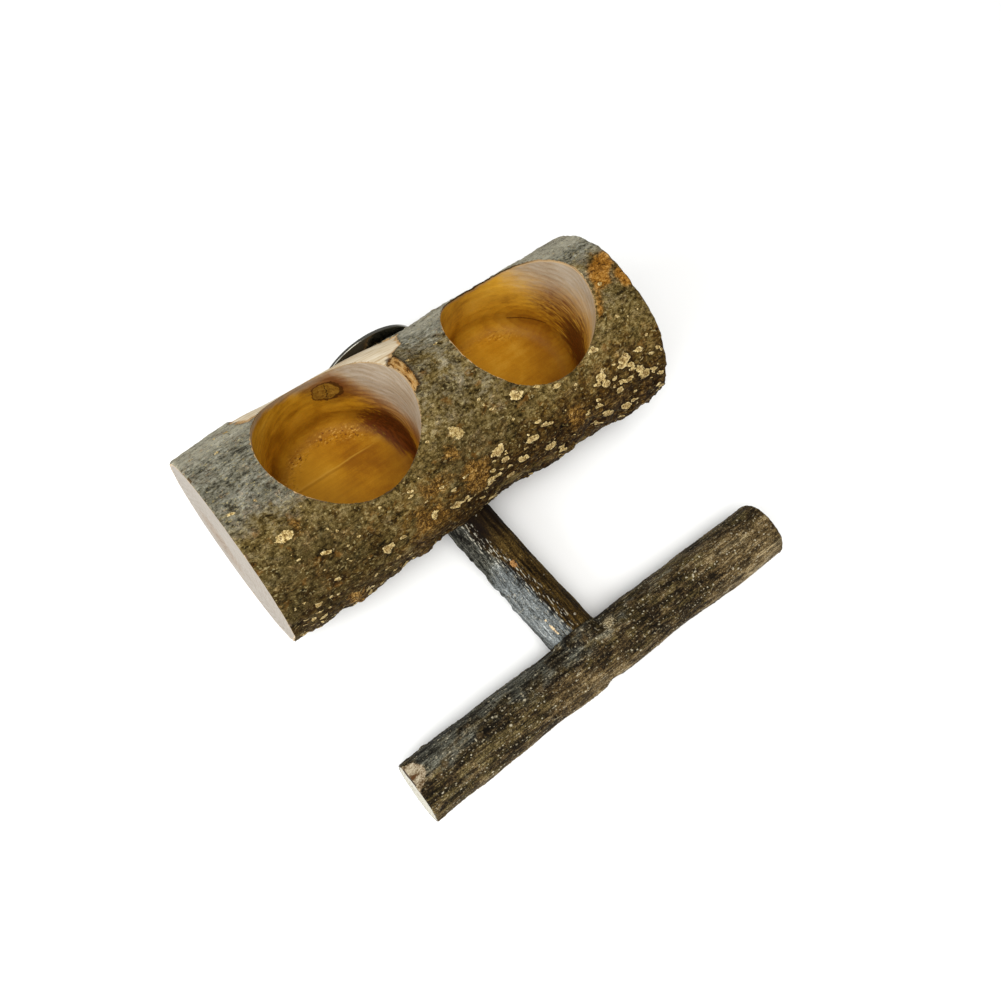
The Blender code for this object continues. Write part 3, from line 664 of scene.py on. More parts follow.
def stem_bark_look():
    k = Look("stem_bark")
    turn = (0.0, 0.0, math.atan2(STEM_U[0], -STEM_U[1]))
    p = k.pos()
    lines = k.noise(k.pos((1, 0.055, 1), turn), 1.35, 4, 0.65)
    lines2 = k.noise(k.pos((1, 0.045, 1), turn, (7, 3, 1)), 1.7, 3, 0.6)
    fine = k.noise(p, 2.1, 3, 0.62)
    mid = k.noise(k.pos((1, 0.6, 1), turn), 0.32, 4, 0.6)
    weathered_and_lit, rel = k.attr("weathered_and_lit"), k.attr("relief")
    # the relief darkens the hollows a little: painted shade
    v = k.add(0.5, k.mul(rel, 0.07))
    v = k.add(v, k.mul(k.sub(lines, 0.5), k.add(0.75, k.mul(weathered_and_lit, 0.3))))
    v = k.add(v, k.mul(k.sub(fine, 0.5), 1.15))
    v = k.add(v, k.mul(k.sub(mid, 0.5), 0.75))
    brown = k.ramp(v, [(0.16, rgb(9, 5, 1)), (0.36, rgb(38, 26, 9)), (0.54, rgb(68, 51, 21)), (0.74, rgb(99, 78, 38)), (0.95, rgb(150, 128, 82))])
    grey = k.ramp(v, [(0.20, rgb(8, 8, 6)), (0.38, rgb(38, 38, 32)), (0.55, rgb(70, 70, 62)), (0.74, rgb(100, 100, 91)), (0.95, rgb(166, 165, 155))])
    white = k.ramp(v, [(0.20, rgb(22, 22, 20)), (0.37, rgb(72, 74, 72)), (0.54, rgb(101, 105, 104)), (0.74, rgb(132, 136, 135)), (0.95, rgb(194, 196, 192))])
    grey = k.mix(k.band(k.add(k.attr("worn"), k.mul(k.sub(mid, 0.5), 0.9)), 0.2, 0.8), grey, white)
    # the lit side's grey: weathered bark and painted light
    f = k.band(k.add(weathered_and_lit, k.add(k.mul(k.sub(mid, 0.5), 0.9), k.mul(k.sub(lines, 0.5), 0.9))), 0.25, 0.75)
    col = k.mix(f, brown, grey)
    # painted shadow of the log, dark over the stem's top end
    col = k.mix(k.mul(k.attr("foot"), 0.84), col, rgb(16, 8, 6))
    # black lines between the flakes, with pale ticks along them
    seam = k.band(k.attr("seam"), 0.15, 0.85)
    f = k.mul(k.band(k.math("ABSOLUTE", k.sub(lines2, 0.5)), 0.050, 0.015), k.band(k.add(mid, k.mul(seam, 0.25)), 0.42, 0.62))
    col = k.mix(k.mul(f, 0.78), col, rgb(10, 8, 5))
    f = k.mul(seam, k.band(lines, 0.56, 0.42))
    col = k.mix(k.mul(f, 0.52), col, rgb(14, 11, 7))
    tick = k.noise(k.pos((1, 0.20, 1), turn, (4, 4, 8)), 2.3, 2, 0.5)
    f = k.mul(k.band(tick, 0.58, 0.66), k.add(k.mul(seam, 0.66), k.mul(weathered_and_lit, 0.22)))
    col = k.mix(f, col, rgb(180, 174, 156))
    rust = k.band(k.add(k.attr("rust"), k.mul(k.sub(fine, 0.5), 0.9)), 0.0, 0.25)
    col = k.mix(k.mul(rust, 0.85), col, k.mix(k.band(fine, 0.34, 0.60), rgb(72, 42, 16), rgb(168, 124, 74)))
    nick = k.band(k.add(k.attr("nick"), k.mul(k.sub(fine, 0.5), 0.6)), 0.0, 0.25)
    col = k.mix(k.mul(nick, 0.90), col, k.mix(k.band(fine, 0.34, 0.60), rgb(110, 78, 44), rgb(210, 188, 150)))
    dots = k.band(k.add(k.attr("dots"), k.mul(k.sub(fine, 0.5), 0.7)), 0.05, 0.35)
    col = k.mix(k.mul(dots, 0.55), col, k.mix(k.band(fine, 0.35, 0.65), rgb(96, 86, 64), rgb(192, 184, 164)))
    k.bump(k.add(k.mul(lines, 0.8), k.mul(fine, 0.45)), 0.28, 0.7)
    return k.done(col, k.band(k.sub(v, k.mul(weathered_and_lit, 0.2)), 0.2, 0.8, 0.68, 0.88), 0.0, 0.05)


def perch_bark_look():
    k = Look("perch_bark")
    p = k.pos()
    lines = k.noise(k.pos((0.10, 1, 1)), 1.45, 4, 0.65)
    lines2 = k.noise(k.pos((0.06, 1, 1), (0, 0, 0), (3, 8, 2)), 1.5, 3, 0.6)
    blot = k.noise(k.pos((0.75, 1, 1), (0, 0, 0), (6, 2, 11)), 0.62, 3, 0.6)
    fine = k.noise(p, 2.1, 3, 0.62)
    mid = k.noise(k.pos((0.6, 1, 1)), 0.30, 4, 0.6)
    broad = k.noise(k.pos((0.4, 1, 1)), 0.10, 3, 0.5)
    tint = k.noise(k.pos((0.5, 1, 1), (0, 0, 0), (9, 4, 17)), 0.40, 4, 0.6)
    rel, cool = k.attr("relief"), k.attr("cool")
    # the relief darkens the hollows a little: painted shade
    v = k.add(0.455, k.mul(rel, 0.075))
    v = k.add(v, k.mul(k.sub(lines, 0.5), 0.85))
    v = k.add(v, k.mul(k.sub(fine, 0.5), 1.20))
    v = k.add(v, k.mul(k.sub(blot, 0.5), 0.50))
    v = k.add(v, k.mul(k.sub(mid, 0.5), 0.52))
    v = k.add(v, k.mul(k.sub(broad, 0.5), 0.40))
    v = k.add(v, k.mul(k.attr("far"), 0.22))
    brown = k.ramp(v, [(0.14, rgb(8, 4, 1)), (0.34, rgb(36, 26, 12)), (0.52, rgb(70, 55, 31)), (0.72, rgb(107, 88, 56)), (0.95, rgb(162, 143, 106))])
    olive = k.ramp(v, [(0.14, rgb(9, 6, 1)), (0.34, rgb(40, 32, 14)), (0.52, rgb(74, 62, 34)), (0.72, rgb(108, 93, 58)), (0.95, rgb(158, 144, 104))])
    grey = k.ramp(v, [(0.14, rgb(14, 13, 10)), (0.34, rgb(50, 49, 42)), (0.52, rgb(81, 80, 69)), (0.72, rgb(110, 108, 95)), (0.95, rgb(156, 152, 137))])
    col = k.mix(k.band(k.sub(tint, k.mul(k.attr("far"), 0.2)), 0.42, 0.60), brown, olive)
    # grey upper side: the bark's own grey and a painted reflection of the sky
    f = k.band(k.add(cool, k.add(k.mul(k.sub(mid, 0.5), 1.8), k.mul(k.sub(broad, 0.5), 1.5))), 0.32, 0.95)
    col = k.mix(f, col, grey)
    black = k.band(k.add(k.mul(mid, 0.5), k.mul(tint, 0.5)), 0.49, 0.39)
    col = k.mix(k.mul(black, 0.62), col, rgb(11, 8, 3))
    f = k.mul(k.band(k.math("ABSOLUTE", k.sub(lines2, 0.5)), 0.045, 0.012), k.band(mid, 0.34, 0.50))
    col = k.mix(k.mul(f, 0.8), col, rgb(11, 8, 5))
    rust = k.band(k.add(k.attr("rust"), k.mul(k.sub(fine, 0.5), 1.0)), 0.0, 0.40)
    col = k.mix(k.mul(rust, 0.40), col, k.mix(fine, rgb(44, 31, 15), rgb(116, 94, 60)))
    bud = k.band(k.add(k.attr("bud"), k.add(k.mul(k.sub(fine, 0.5), 1.6), k.mul(k.sub(mid, 0.5), 1.2))), 0.0, 0.45)
    col = k.mix(k.mul(bud, 0.80), col, k.mix(k.band(fine, 0.36, 0.62), rgb(66, 50, 26), rgb(184, 168, 132)))
    tick = k.noise(k.pos((0.6, 0.9, 0.9), (0, 0, 0), (14, 4, 8)), 1.6, 2, 0.5)
    col = k.mix(k.band(tick, 0.64, 0.72, 0.0, 0.50), col, rgb(176, 164, 134))
    dots = k.band(k.add(k.attr("dots"), k.mul(k.sub(fine, 0.5), 0.8)), 0.05, 0.42)
    col = k.mix(k.mul(dots, 0.72), col, k.mix(k.band(tint, 0.38, 0.62), rgb(92, 80, 56), rgb(192, 182, 156)))
    pale = k.attr("bare")
    fibre = k.noise(k.pos((0.08, 1, 1)), 1.0, 3, 0.6)
    wood = k.ramp(k.add(k.mul(fibre, 0.6), k.add(k.mul(k.sub(fine, 0.5), 0.6), k.mul(mid, 0.4))),
                  [(0.38, rgb(72, 54, 32)), (0.49, rgb(126, 110, 86)), (0.62, rgb(172, 160, 136))])
    wood = k.mix(k.band(k.attr("knot"), 0.0, 0.6), wood, rgb(74, 48, 24))
    col = k.mix(k.band(k.add(pale, k.mul(k.sub(fine, 0.5), 1.2)), -0.2, 0.35), col, wood)
    k.bump(k.add(k.mul(lines, 0.7), k.mul(fine, 0.5)), 0.26, 0.7)
    return k.done(col, k.band(v, 0.2, 0.8, 0.85, 0.62), 0.0, 0.08)


def end_wood_look(name, centre, across):
    """Sawn branch end: rings about its own middle under a thin bark line."""
    k = Look(name)
    p = k.pos()
    x, y, z = k.split(p)
    u, w = (y, z) if across == "X" else (x, z)
    cu = centre[1] if across == "X" else centre[0]
    du, dw = k.sub(u, float(cu)), k.sub(w, float(centre[2]))
    rr = k.math("SQRT", k.add(k.mul(du, du), k.mul(dw, dw)))
    fine = k.noise(p, 2.0, 3, 0.6)
    mid = k.noise(p, 0.5, 2, 0.5)
    rr2 = k.add(rr, k.mul(k.sub(mid, 0.5), 1.6))
    ring = k.math("FRACT", k.mul(rr2, 0.8))
    late = k.mul(k.band(ring, 0.4, 0.92), k.band(ring, 1.0, 0.95))
    v = k.add(k.add(k.mul(fine, 0.45), k.mul(mid, 0.25)), k.mul(late, -0.16))
    col = k.ramp(v, [(0.08, rgb(142, 128, 106)), (0.30, rgb(176, 172, 158)), (0.55, rgb(197, 197, 189))])
    col = k.mix(k.band(rr2, 1.5, 0.5), col, rgb(120, 84, 50))
    bark = k.band(k.add(k.attr("depth"), k.mul(k.sub(fine, 0.5), 0.3)), 0.75, 0.5)
    col = k.mix(bark, col, k.mix(fine, rgb(24, 18, 12), rgb(78, 62, 42)))
    k.bump(k.add(fine, k.mul(late, -0.3)), 0.12, 0.6)
    return k.done(col, k.band(fine, 0.3, 0.7, 0.6, 0.8), 0.0, 0.4)


def steel_look(name, tint, lo, hi, stretch=(1, 1, 1)):
    k = Look(name)
    p = k.pos()
    brush = k.noise(k.pos(stretch), 2.6, 3, 0.6)
    cloud = k.noise(p, 0.16, 3, 0.55)
    spot = k.noise(p, 0.9, 2, 0.6)
    col = k.mix(k.band(cloud, 0.3, 0.7), rgb(*[int(c * 0.90) for c in tint]), rgb(*tint))
    col = k.mix(k.mul(k.band(spot, 0.66, 0.78), 0.45), col, rgb(120, 108, 92))
    k.bump(k.add(k.mul(brush, 0.7), k.mul(spot, 0.3)), 0.02, 0.35)
    return k.done(col, k.add(k.mul(cloud, (hi - lo) * 0.6), k.add(k.mul(brush, (hi - lo) * 0.4), lo)), 1.0, 0.5)


def dowel_look():
    k = Look("dowel_wood")
    turn = (0.0, 0.0, math.atan2(STEM_U[0], -STEM_U[1]))
    fibre = k.noise(k.pos((1, 0.04, 1), turn), 1.4, 4, 0.6)
    fleck = k.noise(k.pos((1, 0.3, 1), turn), 2.4, 2, 0.6)
    col = k.ramp(k.add(k.mul(fibre, 0.8), k.mul(fleck, 0.25)),
                 [(0.34, rgb(150, 112, 70)), (0.55, rgb(204, 170, 122)), (0.75, rgb(222, 196, 154))])
    k.bump(fibre, 0.08, 0.5)
    return k.done(col, k.band(fibre, 0.3, 0.7, 0.55, 0.7), 0.0, 0.4)


# ---------------------------------------------------------------- log
NX, NA = 228, 300
LX = np.linspace(-75.0, 75.0, NX)
LA = np.arange(NA) * 2 * math.pi / NA
LS = LA * 33.0
LSPAN = 2 * math.pi * 33.0
SX, SA = LX[1] - LX[0], LSPAN / NA


def lfield(seed, lx, la):
    return field(seed, NX, NA, SX, SA, lx, la)


def log_fields():
    X, A = np.meshgrid(LX, LA, indexing="ij")
    deg = np.degrees(A)
    f = {}
    wob = lfield(11, 0.55, 0.55)
    slow = lfield(12, 14, 9)
    # where the surface is grey and where it is dark brown: the bark's own colours, with painted light in the grey on
    # top and painted shade in the dark brown low down
    top = smooth(deg + 9 * slow, 136, 76) * smooth(deg, -10, 25)
    f["cool"] = top * (0.42 + 0.58 * smooth(X, -26, -54)) + 0.5 * smooth(deg, 84, 56) * smooth(deg, -10, 25) * smooth(X, -5, 12)
    f["cool"] += 0.5 * smooth(deg, 68, 44) * smooth(deg, -10, 25)
    f["deep"] = smooth(deg + 5 * slow, 108, 184) * smooth(deg, 300, 235) * (0.55 + 0.45 * smooth(X, -40, 0))
    f["deep"] += 0.45 * smooth(deg, 235, 280) * smooth(deg, 359, 320)
    f["cool"] += 0.30 * smooth(deg, 86, 62) * smooth(deg, -10, 25) * smooth(X, 30, 58)
    # painted shade on the lower front, most at the left end, with a few patches of it
    f["low"] = (0.92 * smooth(X, -22, -60) + 0.42 * smooth(np.abs(X - 6), 26, 9)) * smooth(deg + 5 * slow, 92, 158) * smooth(deg, 330, 260)
    f["low"] += 0.16 * smooth(np.abs(X - 8), 24, 8) * smooth(deg, 78, 100) * smooth(deg, 160, 120)
    for px, py, wide, tall, much in ((237, 506, 13, 9, 0.34), (468, 464, 15, 11, 0.36), (452, 492, 11, 7, 0.25)):
        x, a, c = on_log(px, py)
        f["low"] += much * smooth(np.hypot((X - x) / wide, (A - a) * 33.0 / tall) + 0.15 * slow, 1.3, 0.4)
    f["low"] = np.clip(f["low"], 0, 1)
    # a lighter hem along the lower edge beside the stem
    for px, py in ((508, 482), (525, 472), (545, 460), (565, 449), (585, 438)):
        x, a, c = on_log(px, py)
        hem = smooth(np.hypot((X - x) / 7.0, (A - a) * 33.0 / 4.6) + 0.15 * slow, 1.3, 0.3)
        f["deep"] -= 0.55 * hem
        f["low"] *= 1 - 0.6 * hem
    f["deep"] = np.maximum(f["deep"], 0)
    # bare strip on the back, over the washer's seat
    U, S = np.meshgrid(LX, LS, indexing="ij")
    strip = [on_log(px, py)[:2] for px, py in ((233, 425), (247, 423), (262, 411), (292, 393), (330, 375), (350, 371),
                                               (376, 369), (388, 371), (389, 357), (394, 349), (401, 343), (396, 338), (398, 333))]
    pts = [(x, a * 33.0) for x, a in strip] + [(x, math.radians(d) * 33.0) for x, d in ((-4, 12), (-9, 5), (-16, 8), (-23, 3), (-29, 6), (-36, 3), (-43, 9), (-49, 13), (-54, 21))]
    f["bare"] = np.clip(outline(pts, U, S) + 0.35 * lfield(13, 1.5, 1.0), -3, 4)
    # a torn-back tongue of inner bark beside the left cup
    pts = [(q[0], q[1] * 33.0) for q in (on_log(*c) for c in ((387, 358), (393, 356), (403, 363), (412, 373), (419, 384), (415, 391), (408, 392), (398, 381), (389, 370)))]
    f["tongue"] = np.clip(outline(pts, U, S), -3, 3)
    # rust-brown patches
    rust = np.full(X.shape, -3.0)
    orange = np.zeros(X.shape)
    for shape in (((588, 268), (594, 257), (604, 252), (613, 262), (607, 273), (611, 283), (597, 291), (590, 280)),
                  ((614, 266), (623, 270), (631, 283), (624, 285), (616, 277)),
                  ((594, 289), (599, 291), (603, 316), (599, 318)),
                  ((468, 463), (484, 456), (491, 468), (484, 490), (468, 492), (462, 478)),
                  ((418, 487), (438, 479), (442, 489), (424, 500)),
                  ((414, 516), (440, 507), (452, 514), (430, 530), (416, 528)),
                  ((444, 447), (458, 449), (460, 458), (446, 460)),
                  ((570, 410), (578, 404), (584, 416), (576, 428), (569, 422)),
                  ((289, 526), (295, 526), (296, 534), (290, 536)),
                  ((346, 598), (360, 592), (364, 601), (350, 607))):
        s = outline([(q[0], q[1] * 33.0) for q in (on_log(*c) for c in shape)], U, S)
        rust = np.maximum(rust, s + 0.4)
        if shape[0][1] < 300:
            orange = np.maximum(orange, smooth(s, -1.5, 0.5))
    rng = np.random.default_rng(21)
    for _ in range(26):
        r = rng.uniform(1.2, 3.6)
        tmp = np.full(X.shape, -1.0)
        stamp(tmp, wob, LX, LS, LSPAN, rng.uniform(-70, 70), math.radians(rng.uniform(200, 370)) * 33 % LSPAN, r * rng.uniform(1, 2), r)
        rust = np.maximum(rust, tmp * r)
    f["rust"], f["orange"] = np.clip(rust, -3, 3), orange
    x, a, c = on_log(430, 508)
    f["ginger"] = smooth(np.hypot((X - x) / 15.0, (A - a) * 33.0 / 12.0) + 0.12 * slow, 1.25, 0.35)
    # pale blisters: those the light picks out, then a seeded scatter
    cream = np.full(X.shape, -1.0)
    seen = ((453, 431, 11, 9), (459, 433, 10, 10), (451, 436, 8, 7), (517, 396, 11, 8), (536, 387, 6, 6), (557, 385, 7, 9),
            (593, 350, 8, 8), (600, 377, 12, 9), (605, 383, 10, 9), (597, 384, 8, 8), (621, 381, 8, 9), (619, 390, 9, 9),
            (624, 359, 13, 8), (630, 364, 9, 8), (620, 366, 8, 8), (638, 349, 9, 8), (650, 353, 6, 7), (657, 347, 6, 6),
            (632, 369, 7, 7), (645, 373, 15, 7), (653, 368, 8, 6), (598, 405, 9, 7), (587, 413, 6, 7), (608, 413, 7, 12),
            (626, 405, 12, 7), (634, 399, 9, 7), (548, 424, 9, 6), (537, 421, 7, 4), (532, 438, 11, 7), (551, 445, 11, 9),
            (527, 448, 5, 6), (497, 451, 11, 7), (505, 459, 9, 9), (522, 459, 11, 7), (511, 466, 5, 5), (502, 469, 5, 5),
            (512, 474, 9, 9), (496, 476, 6, 10), (490, 484, 6, 6), (457, 505, 12, 10), (452, 490, 6, 5), (660, 372, 7, 8), (661, 385, 6, 9),
            (637, 309, 4, 4), (617, 316, 6, 6), (275, 540, 6, 10), (283, 538, 10, 9), (323, 554, 7, 8), (386, 550, 11, 9),
            (388, 569, 8, 7), (401, 538, 7, 7), (408, 492, 6, 6), (376, 508, 4, 4), (333, 581, 6, 6), (315, 606, 6, 4),
            (319, 613, 6, 4), (312, 622, 5, 4), (322, 621, 6, 4), (303, 628, 5, 4), (228, 517, 5, 3), (436, 512, 6, 5), (470, 500, 7, 6))
    for px, py, w, h in seen:
        x, a, c = on_log(px, py)
        long, wide = max(w, h) / PX_PER_MM / 2, min(w, h) / PX_PER_MM / 2
        slim = 0.85 if w * h > 75 else 0.58
        stamp(cream, wob, LX, LS, LSPAN, x, a * 33.0, 1.25 * long, min(1.1 * wide / c, slim * long), 0.32)
    rng = np.random.default_rng(22)
    tries = 0
    while tries < 1350:
        tries += 1
        x, s = rng.uniform(-74, 74), rng.uniform(0, LSPAN)
        i, j = int((x + 75) / 150 * (NX - 1)), int(s / LSPAN * NA) % NA
        r = rng.uniform(0.28, 0.62)
        if rng.random() < 0.18 + 0.75 * f["deep"][i, j]:
            big = 1.0 + 0.9 * rng.random() ** 2 * (f["deep"][i, j] > 0.4)
            stamp(cream, wob, LX, LS, LSPAN, x, s, r * big * rng.uniform(1.1, 1.9), r * big)
    f["cream"] = cream
    # relief in mm
    grain = lfield(31, 0.55, 0.55)
    split = lfield(32, 1.9, 0.50)
    w = smooth(f["cool"], 0.15, 0.8) * smooth(X, 35, -10)
    small = grain * (1 - w) + (0.45 * grain + 0.85 * split) * w
    rough = 0.85 + 0.8 * f["deep"]
    D = 0.22 * slow + 0.13 * rough * lfield(33, 2.6, 2.0) + 0.105 * rough * small
    D -= 0.20 * smooth(lfield(34, 0.6, 0.6), 1.25, 2.0) * rough
    D -= 0.22 * smooth(lfield(35, 2.4, 0.5), 1.55, 2.3)
    ridge = smooth(deg, 163, 184) * smooth(deg, 236, 212)
    D += ridge * (0.34 * lfield(36, 2.2, 4.0) + 0.34 * np.maximum(0, lfield(37, 1.3, 1.8) - 0.5) - 0.30 * np.maximum(0, lfield(40, 0.8, 2.4) - 0.8))
    D += 0.26 * smooth(cream, -0.05, 0.25) - 0.12 * smooth(cream, 0.40, 0.75)
    D += 0.16 * smooth(f["rust"], 0.0, 1.0) * (0.4 + 0.6 * lfield(38, 1.2, 1.0))
    D += 0.55 * smooth(f["tongue"], -0.2, 0.5)
    f["whole"] = D.copy()
    flat = smooth(f["bare"], -0.35, 0.35)
    sunk = BARK_THICK * (0.35 + 0.65 * smooth(X, -53, -40))
    D = D * (1 - flat) + flat * (-sunk + 0.05 * lfield(39, 8, 0.8))
    # quiet round the stem's foot, so that the two meet
    foot = np.stack([X, np.cos(A) * 32.5, np.sin(A) * 32.5], -1) - STEM_P
    off = np.linalg.norm(foot - (foot @ STEM_U)[..., None] * STEM_U, axis=-1)
    D *= np.where((foot @ STEM_U) > 0, smooth(off, 8.6, 11.5), 1.0)
    f["D"] = D
    f["relief"] = np.clip(small + 0.5 * lfield(33, 2.6, 2.0) - 1.5 * smooth(lfield(34, 0.6, 0.6), 1.25, 2.0), -3, 3)
    return f


LOG = log_fields()


def log_skin(x, a):
    return log_radius(x, a) + sample(LOG["D"], x, a, -75.0, 75.0)


def sawn_disc(radius, x_end, seed, flip):
    """Rings from a sawn end's edge to its middle, with saw lines and drying splits cut in."""
    rings = []
    m = len(radius)
    a = np.arange(m) * 2 * math.pi / m
    rng = np.random.default_rng(seed)
    splits = [(rng.uniform(0, 6.28), rng.uniform(9, 22), rng.uniform(0.3, 0.9)) for _ in range(7)]
    for q in (0.994, 0.98, 0.955, 0.92, 0.87, 0.81, 0.74, 0.66, 0.57, 0.48, 0.38, 0.28, 0.18, 0.08):
        y, z = radius * q * np.cos(a), radius * q * np.sin(a)
        dy, dz = y - PITH[0] * 0.6, z - PITH[1] * 0.6
        rho, th = np.hypot(dy, dz), np.arctan2(dz, dy)
        sink = 0.045 * np.sin((z * 0.94 + y * 0.34) * 2.1 + 1.2 * np.sin(y * 0.11)) + 0.03 * np.sin(z * 5.3 + y)
        for at, reach, deep in splits:
            d = np.angle(np.exp(1j * (th - at - 0.05 * np.sin(rho * 0.5)))) * rho
            sink -= deep * np.exp(-(d / 0.32) ** 2) * smooth(rho, reach, reach * 0.7) * smooth(rho, 0.5, 2.0)
        sink *= 1 if q < 0.97 else 0.3
        rings.append(np.stack([np.full(m, x_end) + flip * sink, y, z], -1))
    return rings


def build_log():
    X, A = np.meshgrid(LX, LA, indexing="ij")
    R = log_radius(X, A) + LOG["D"]
    chip = np.abs(field(41, NX, NA, SX, SA, 1.0, 1.6))
    R[0] -= 0.15 + 0.22 * chip[0]
    R[-1] -= 0.15 + 0.22 * chip[-1]
    side = np.stack([X, R * np.cos(A), R * np.sin(A)], -1)
    rings = np.concatenate([np.array(sawn_disc(R[0], -75.0, 51, -1.0)[::-1]), side, np.array(sawn_disc(R[-1], 75.0, 52, 1.0))])
    ends = np.array([[-75.0, 0, 0], [75.0, 0, 0]])
    rings[..., 0] += left_saw(rings[..., 0], rings[..., 1], rings[..., 2])
    rings[..., 2] = np.maximum(rings[..., 2], FLOOR_Z + 0.002)
    ob = tube("log", rings, ends[0], ends[1])
    cutters = []
    for n, cx in enumerate(CUP_X):
        rng = np.random.default_rng(60 + n)
        prof = [(0.0, CUP_FLOOR)]
        for r in np.linspace(0.5, CUP_R - CUP_CORNER, 14):
            prof.append((r, CUP_FLOOR + 0.035 * math.sin(r * 2.6) + 0.02 * rng.standard_normal()))
        for t in np.linspace(0.12, 1.0, 10):
            prof.append((CUP_R - CUP_CORNER + CUP_CORNER * math.sin(t * math.pi / 2), CUP_FLOOR + CUP_CORNER - CUP_CORNER * math.cos(t * math.pi / 2)))
        for z in np.linspace(CUP_FLOOR + CUP_CORNER + 0.9, 40.0, 54):
            prof.append((CUP_R + 0.035 * rng.standard_normal() + 0.03 * math.sin(z * 1.7), z))
        prof.append((0.0, 40.0))
        cutters.append(lathe("cup", prof, (cx, CUP_Y, 0), (0, 0, 1), (1, 0, 0), 168))
    # seat of the washer
    x0, x1 = SEAT_X
    grid = []
    zs = np.linspace(-22, 22, 67)
    for u in np.linspace(0, 1, 88):
        xx = x0 + (x1 - x0) * u
        face = [(xx + 0.5 * math.sin(zz * 0.5) * (abs(u - 0.5) > 0.48), SEAT_Y + 0.03 * math.sin(xx * 1.9 + 0.7 * math.sin(zz * 0.4)) + 0.02 * math.sin(zz * 3.1), zz) for zz in zs]
        grid.append(face + [(xx, SEAT_Y + 6, 22), (xx, SEAT_Y + 6, -22)])
    g = np.array(grid)
    cutters.append(outward(tube("seat", g, g[0].mean(0), g[-1].mean(0))))
    cutters.append(lathe("bolt_hole", [(0, 10.6), (3.05, 10.6), (3.05, 31.0), (3.5, 31.5), (3.5, 40.0), (0, 40.0)],
                         (BOLT_X, 0, BOLT_Z), (0, 1, 0), (1, 0, 0), 64))
    root = STEM_P + STEM_U * 27.4
    cutters.append(lathe("dowel_hole", [(0, -15.6), (3.0, -15.6), (4.15, -14.4), (4.15, 8), (0, 8)], root, STEM_U, (1, 0, 0), 64))
    cut(ob, *cutters)

    v = points_of(ob)
    x = v[:, 0] - left_saw(v[:, 0], v[:, 1], v[:, 2])
    a = np.mod(np.arctan2(v[:, 2], v[:, 1]), 2 * math.pi)
    for name in ("relief", "cool", "deep", "low", "rust", "orange", "ginger", "cream", "bare", "tongue"):
        give(ob, name, sample(LOG[name], x, a, -75.0, 75.0))
    give(ob, "rad", log_radius(x, a) + sample(LOG["whole"], x, a, -75.0, 75.0))
    sawn = (np.abs(x) > 73.9)
    give(ob, "sawn", sawn)
    end = np.zeros(len(v)); torn = np.zeros(len(v)); sap_and_light = np.full(len(v), 12.0); streak_and_rim_shadow = np.zeros(len(v)); walls = np.zeros(len(v))
    check = np.full(len(v), 9.0); zone = np.zeros(len(v)); edge = np.zeros(len(v)); eye = np.full(len(v), 99.0)
    knot = np.full(len(v), 9.0); crack = np.full(len(v), 9.0)
    for n, cx in enumerate(CUP_X):
        dx, dy = v[:, 0] - cx, v[:, 1] - CUP_Y
        rho = np.hypot(dx, dy)
        wall = (rho > CUP_R - 0.25) & (rho < CUP_R + 0.3) & (v[:, 2] > CUP_FLOOR + 0.3)
        near = (rho < CUP_R + 0.3) & (v[:, 2] > CUP_FLOOR - 0.4)
        steep = smooth(rho, CUP_R - CUP_CORNER, CUP_R)
        end = np.where(near, (dx / np.maximum(rho, 1)) ** 2 * steep, end)
        th = np.arctan2(dy, dx)
        back = smooth(np.cos(th - math.radians((112, 110)[n])), (-0.05, 0.1)[n], (0.55, 0.75)[n]) * (1.0, 0.5)[n]
        patch = 0.70 + 0.45 * np.sin(th * 7.0 + 1.3 * np.sin(th * 3.0) + n)
        torn = np.where(near, smooth(np.abs(rho - CUP_R + 4.6), 3.6, 0.8) * smooth(v[:, 2], CUP_FLOOR + 6.0, CUP_FLOOR + 2.5) * back * np.clip(patch, 0, 1), torn)
        # height on the wall, by direction, where heartwood gives way to the pale zone of sapwood and painted light
        if n == 0:
            q = [wall_point(n, *c) for c in ((417, 432), (402, 417), (384, 404), (366, 393), (348, 384), (330, 377), (312, 382))]
            turn = [math.degrees(math.atan2(w[1] - CUP_Y, w[0] - cx)) for w in q]
            high = [w[2] - 4.0 for w in q]
            turn = [-180, -150, -60, -30, turn[0] - 12] + turn + [turn[-1] + 12, turn[-1] + 30, 180]
            high = [30, 26, 14, 8, high[0] + 1] + high + [high[-1] + 5, 44, 30]
        if n == 1:
            q = [wall_point(n, *c) for c in ((589, 325), (580, 313), (566, 303), (549, 296), (532, 288), (518, 281), (503, 271))]
            turn = [math.degrees(math.atan2(w[1] - CUP_Y, w[0] - cx)) for w in q]
            high = [w[2] - 4.0 for w in q]
            turn = [-180, turn[0] - 70, turn[0] - 20] + turn + [turn[-1] + 14, turn[-1] + 40]
            high = [30, high[0] + 9, high[0] + 1] + high + [high[-1] + 10, 44]
        sap_and_light = np.where(near, (v[:, 2] - np.interp(np.degrees(th), turn, high)) * (1.0, 0.75)[n] - 40 * (1 - steep), sap_and_light)
        zone = np.where(near, (1.0, 0.0)[n] + (0.0, 0.35)[n] * smooth(np.cos(th - math.radians(-5)), 0.60, 0.95), zone)
        edge = np.where(near & (n == 0), smooth(np.cos(th - math.radians(122)), 0.45, 0.80), edge)
